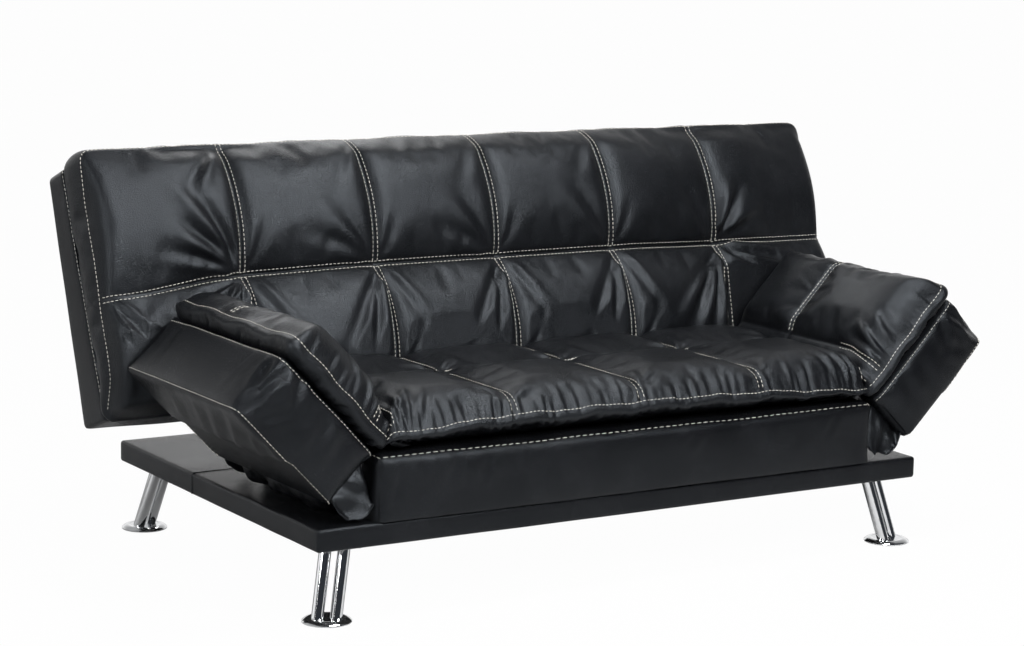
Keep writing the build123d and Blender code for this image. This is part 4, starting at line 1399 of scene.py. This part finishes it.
# ---- stage --------------------------------------------------------------------------------------------
WHITE = (1, 1, 1, 1)
STUDIO_DARK = (0.030, 0.033, 0.039, 1)  # in front of the sofa, where its gloss looks
FLOOR_REACH = 80.0
CAMERA_PLACE = (-3.1317, -4.9782, 1.4579)
CAMERA_AZIMUTH, CAMERA_ELEVATION, CAMERA_ROLL = (math.radians(angle) for angle in (-32.0, 9.435, 1.1493))
CAMERA_LENS, CAMERA_SENSOR = 94.83, 36.0
LAMPS = (                               # name, place, aim, size, power
    ("top_light", (0.3, -0.9, 3.1), (0, 0, 0.4), (1.6, 0.5), 70),
    ("key_light", (0.25, -2.7, 2.3), (-0.5, 0, 0.6), (0.7, 0.9), 72),
    ("flank_light", (-0.9, -3.4, 2.0), (-0.2, 0, 0.6), (0.55, 0.55), 44),
    ("back_light", (0.4, 1.9, 2.2), (0.8, -0.2, 0.5), (1.2, 0.8), 15),
    ("side_light", (-3.6, -1.2, 1.7), (0, 0, 0.5), (0.9, 1.3), 55),
)


class FUTON_OT_stage(bpy.types.Operator):
    """Make the floor, the lights and the camera"""
    bl_idname = "futon.stage"
    bl_label = "Stage"

    def execute(self, context):
        context.scene.view_settings.view_transform = "Standard"
        self.floor()
        self.world(context.scene)
        for lamp in LAMPS:
            self.lamp(*lamp)
        context.scene.camera = self.camera()
        return {"FINISHED"}

    def floor(self):
        """A pale floor that the camera sees as white, apart from the sofa's shadow."""
        f = Finish("floor")
        speckle = f.noise(f.place(), 60.0, 3.0)
        tone = tuple(colours().floor)
        f.surface(
            Base_Color=f.mix(speckle, opaque(tone), opaque(tone, 0.985)), Roughness=0.75 + speckle * 0.1,
            Specular_IOR_Level=0.2,
        )
        seen = f.node("ShaderNodeLightPath", output="Is Camera Ray")
        white = f.node("ShaderNodeEmission", {}, {"Color": WHITE, "Strength": 1.0})
        both = f.node("ShaderNodeMixShader", {}, {0: seen * 0.98, 1: Link(f, f.shader.outputs[0]), 2: white})
        f.join(both, f.tree.nodes["Material Output"].inputs["Surface"])
        r = FLOOR_REACH
        corners = [(-r, -r, 0), (r, -r, 0), (r, r, 0), (-r, r, 0)]
        new_object("floor", corners, [(0, 1, 2, 3)], f.material)

    def world(self, scene):
        """A white backdrop for the camera, and a studio that is dark in front and pale low down behind."""
        world = bpy.data.worlds.new("studio")
        scene.world = world
        world.use_nodes = True
        sky = NodeMaker(world.node_tree)
        around = Link(sky, sky.tree.nodes["Background"].outputs[0])
        where = sky.node("ShaderNodeTexCoord", output="Generated")
        back = sky.node("ShaderNodeSeparateXYZ", {}, {0: where}, "Y")
        behind, low_down = (
            sky.node("ShaderNodeMapRange", {"interpolation_type": "SMOOTHSTEP"}, {
                "Value": value, "From Min": start, "From Max": end, "To Min": first, "To Max": last,
            })
            for value, start, end, first, last in (
                (back, -0.25, 0.35, 0.0, 1.0), (back.other("Z"), 0.05, 0.65, 1.0, 0.35),
            )
        )
        sky.join(sky.mix(behind * low_down, STUDIO_DARK, WHITE), around.socket.node.inputs["Color"])
        seen = sky.node("ShaderNodeLightPath", output="Is Camera Ray")
        backdrop = sky.node("ShaderNodeBackground", {}, {"Color": WHITE})
        both = sky.node("ShaderNodeMixShader", {}, {0: seen, 1: around, 2: backdrop})
        sky.join(both, sky.tree.nodes["World Output"].inputs["Surface"])

    def lamp(self, name, place, aim, size, power):
        """A soft light that looks at a point."""
        data = bpy.data.lights.new(name, "AREA")
        data.shape, data.energy = "RECTANGLE", power
        data.size, data.size_y = size
        lamp = linked(name, data)
        lamp.location = place
        lamp.rotation_euler = (Vector(aim) - Vector(place)).to_track_quat("-Z", "Y").to_euler()

    def camera(self):
        """The camera, turned by its azimuth, elevation and roll."""
        azimuth, elevation, roll = CAMERA_AZIMUTH, CAMERA_ELEVATION, CAMERA_ROLL
        out = math.cos(elevation)
        back = Vector((math.sin(azimuth) * out, -math.cos(azimuth) * out, math.sin(elevation)))
        level = (-back).cross(Vector((0, 0, 1))).normalized()
        upright = level.cross(-back)
        right = level * math.cos(roll) + upright * math.sin(roll)
        up = upright * math.cos(roll) - level * math.sin(roll)
        data = bpy.data.cameras.new("camera")
        data.sensor_width, data.lens, data.clip_end = CAMERA_SENSOR, CAMERA_LENS, 100
        camera = linked("camera", data)
        turn = Matrix((right, up, back)).transposed().to_4x4()
        camera.matrix_world = Matrix.Translation(CAMERA_PLACE) @ turn
        return camera


class FUTON_PT_panel(bpy.types.Panel):
    """Lists the sofa's settings and makers"""
    bl_idname = "FUTON_PT_panel"
    bl_label = "Futon sofa bed"
    bl_space_type = "VIEW_3D"
    bl_region_type = "UI"
    bl_category = "Futon"

    def draw(self, context):
        for group in (padding(), stitching(), colours()):
            box = self.layout.box()
            for key in group.__annotations__:
                box.prop(group, key)
        for operator in MAKERS:
            self.layout.operator(operator.bl_idname)


GROUPS = {"futon_padding": FutonPadding, "futon_stitching": FutonStitching, "futon_colours": FutonColours}
MAKERS = (
    FUTON_OT_finishes, FUTON_OT_stage, FUTON_OT_boxes, FUTON_OT_back_pad, FUTON_OT_seat_pad,
    FUTON_OT_arm_pads, FUTON_OT_gussets, FUTON_OT_stitches,
)
CLASSES = (*GROUPS.values(), *MAKERS, FUTON_PT_panel)


def register():
    """Makes the classes and the scene's settings known."""
    for cls in CLASSES:
        bpy.utils.register_class(cls)
    for name, group in GROUPS.items():
        setattr(bpy.types.Scene, name, PointerProperty(type=group))


def unregister():
    """Takes them away again."""
    for name in GROUPS:
        delattr(bpy.types.Scene, name)
    for cls in reversed(CLASSES):
        bpy.utils.unregister_class(cls)


def main():
    """Makes the whole sofa and its stage."""
    register()
    for operator in MAKERS:
        group, name = operator.bl_idname.split(".")
        getattr(getattr(bpy.ops, group), name)()


if __name__ == "__main__":
    main()
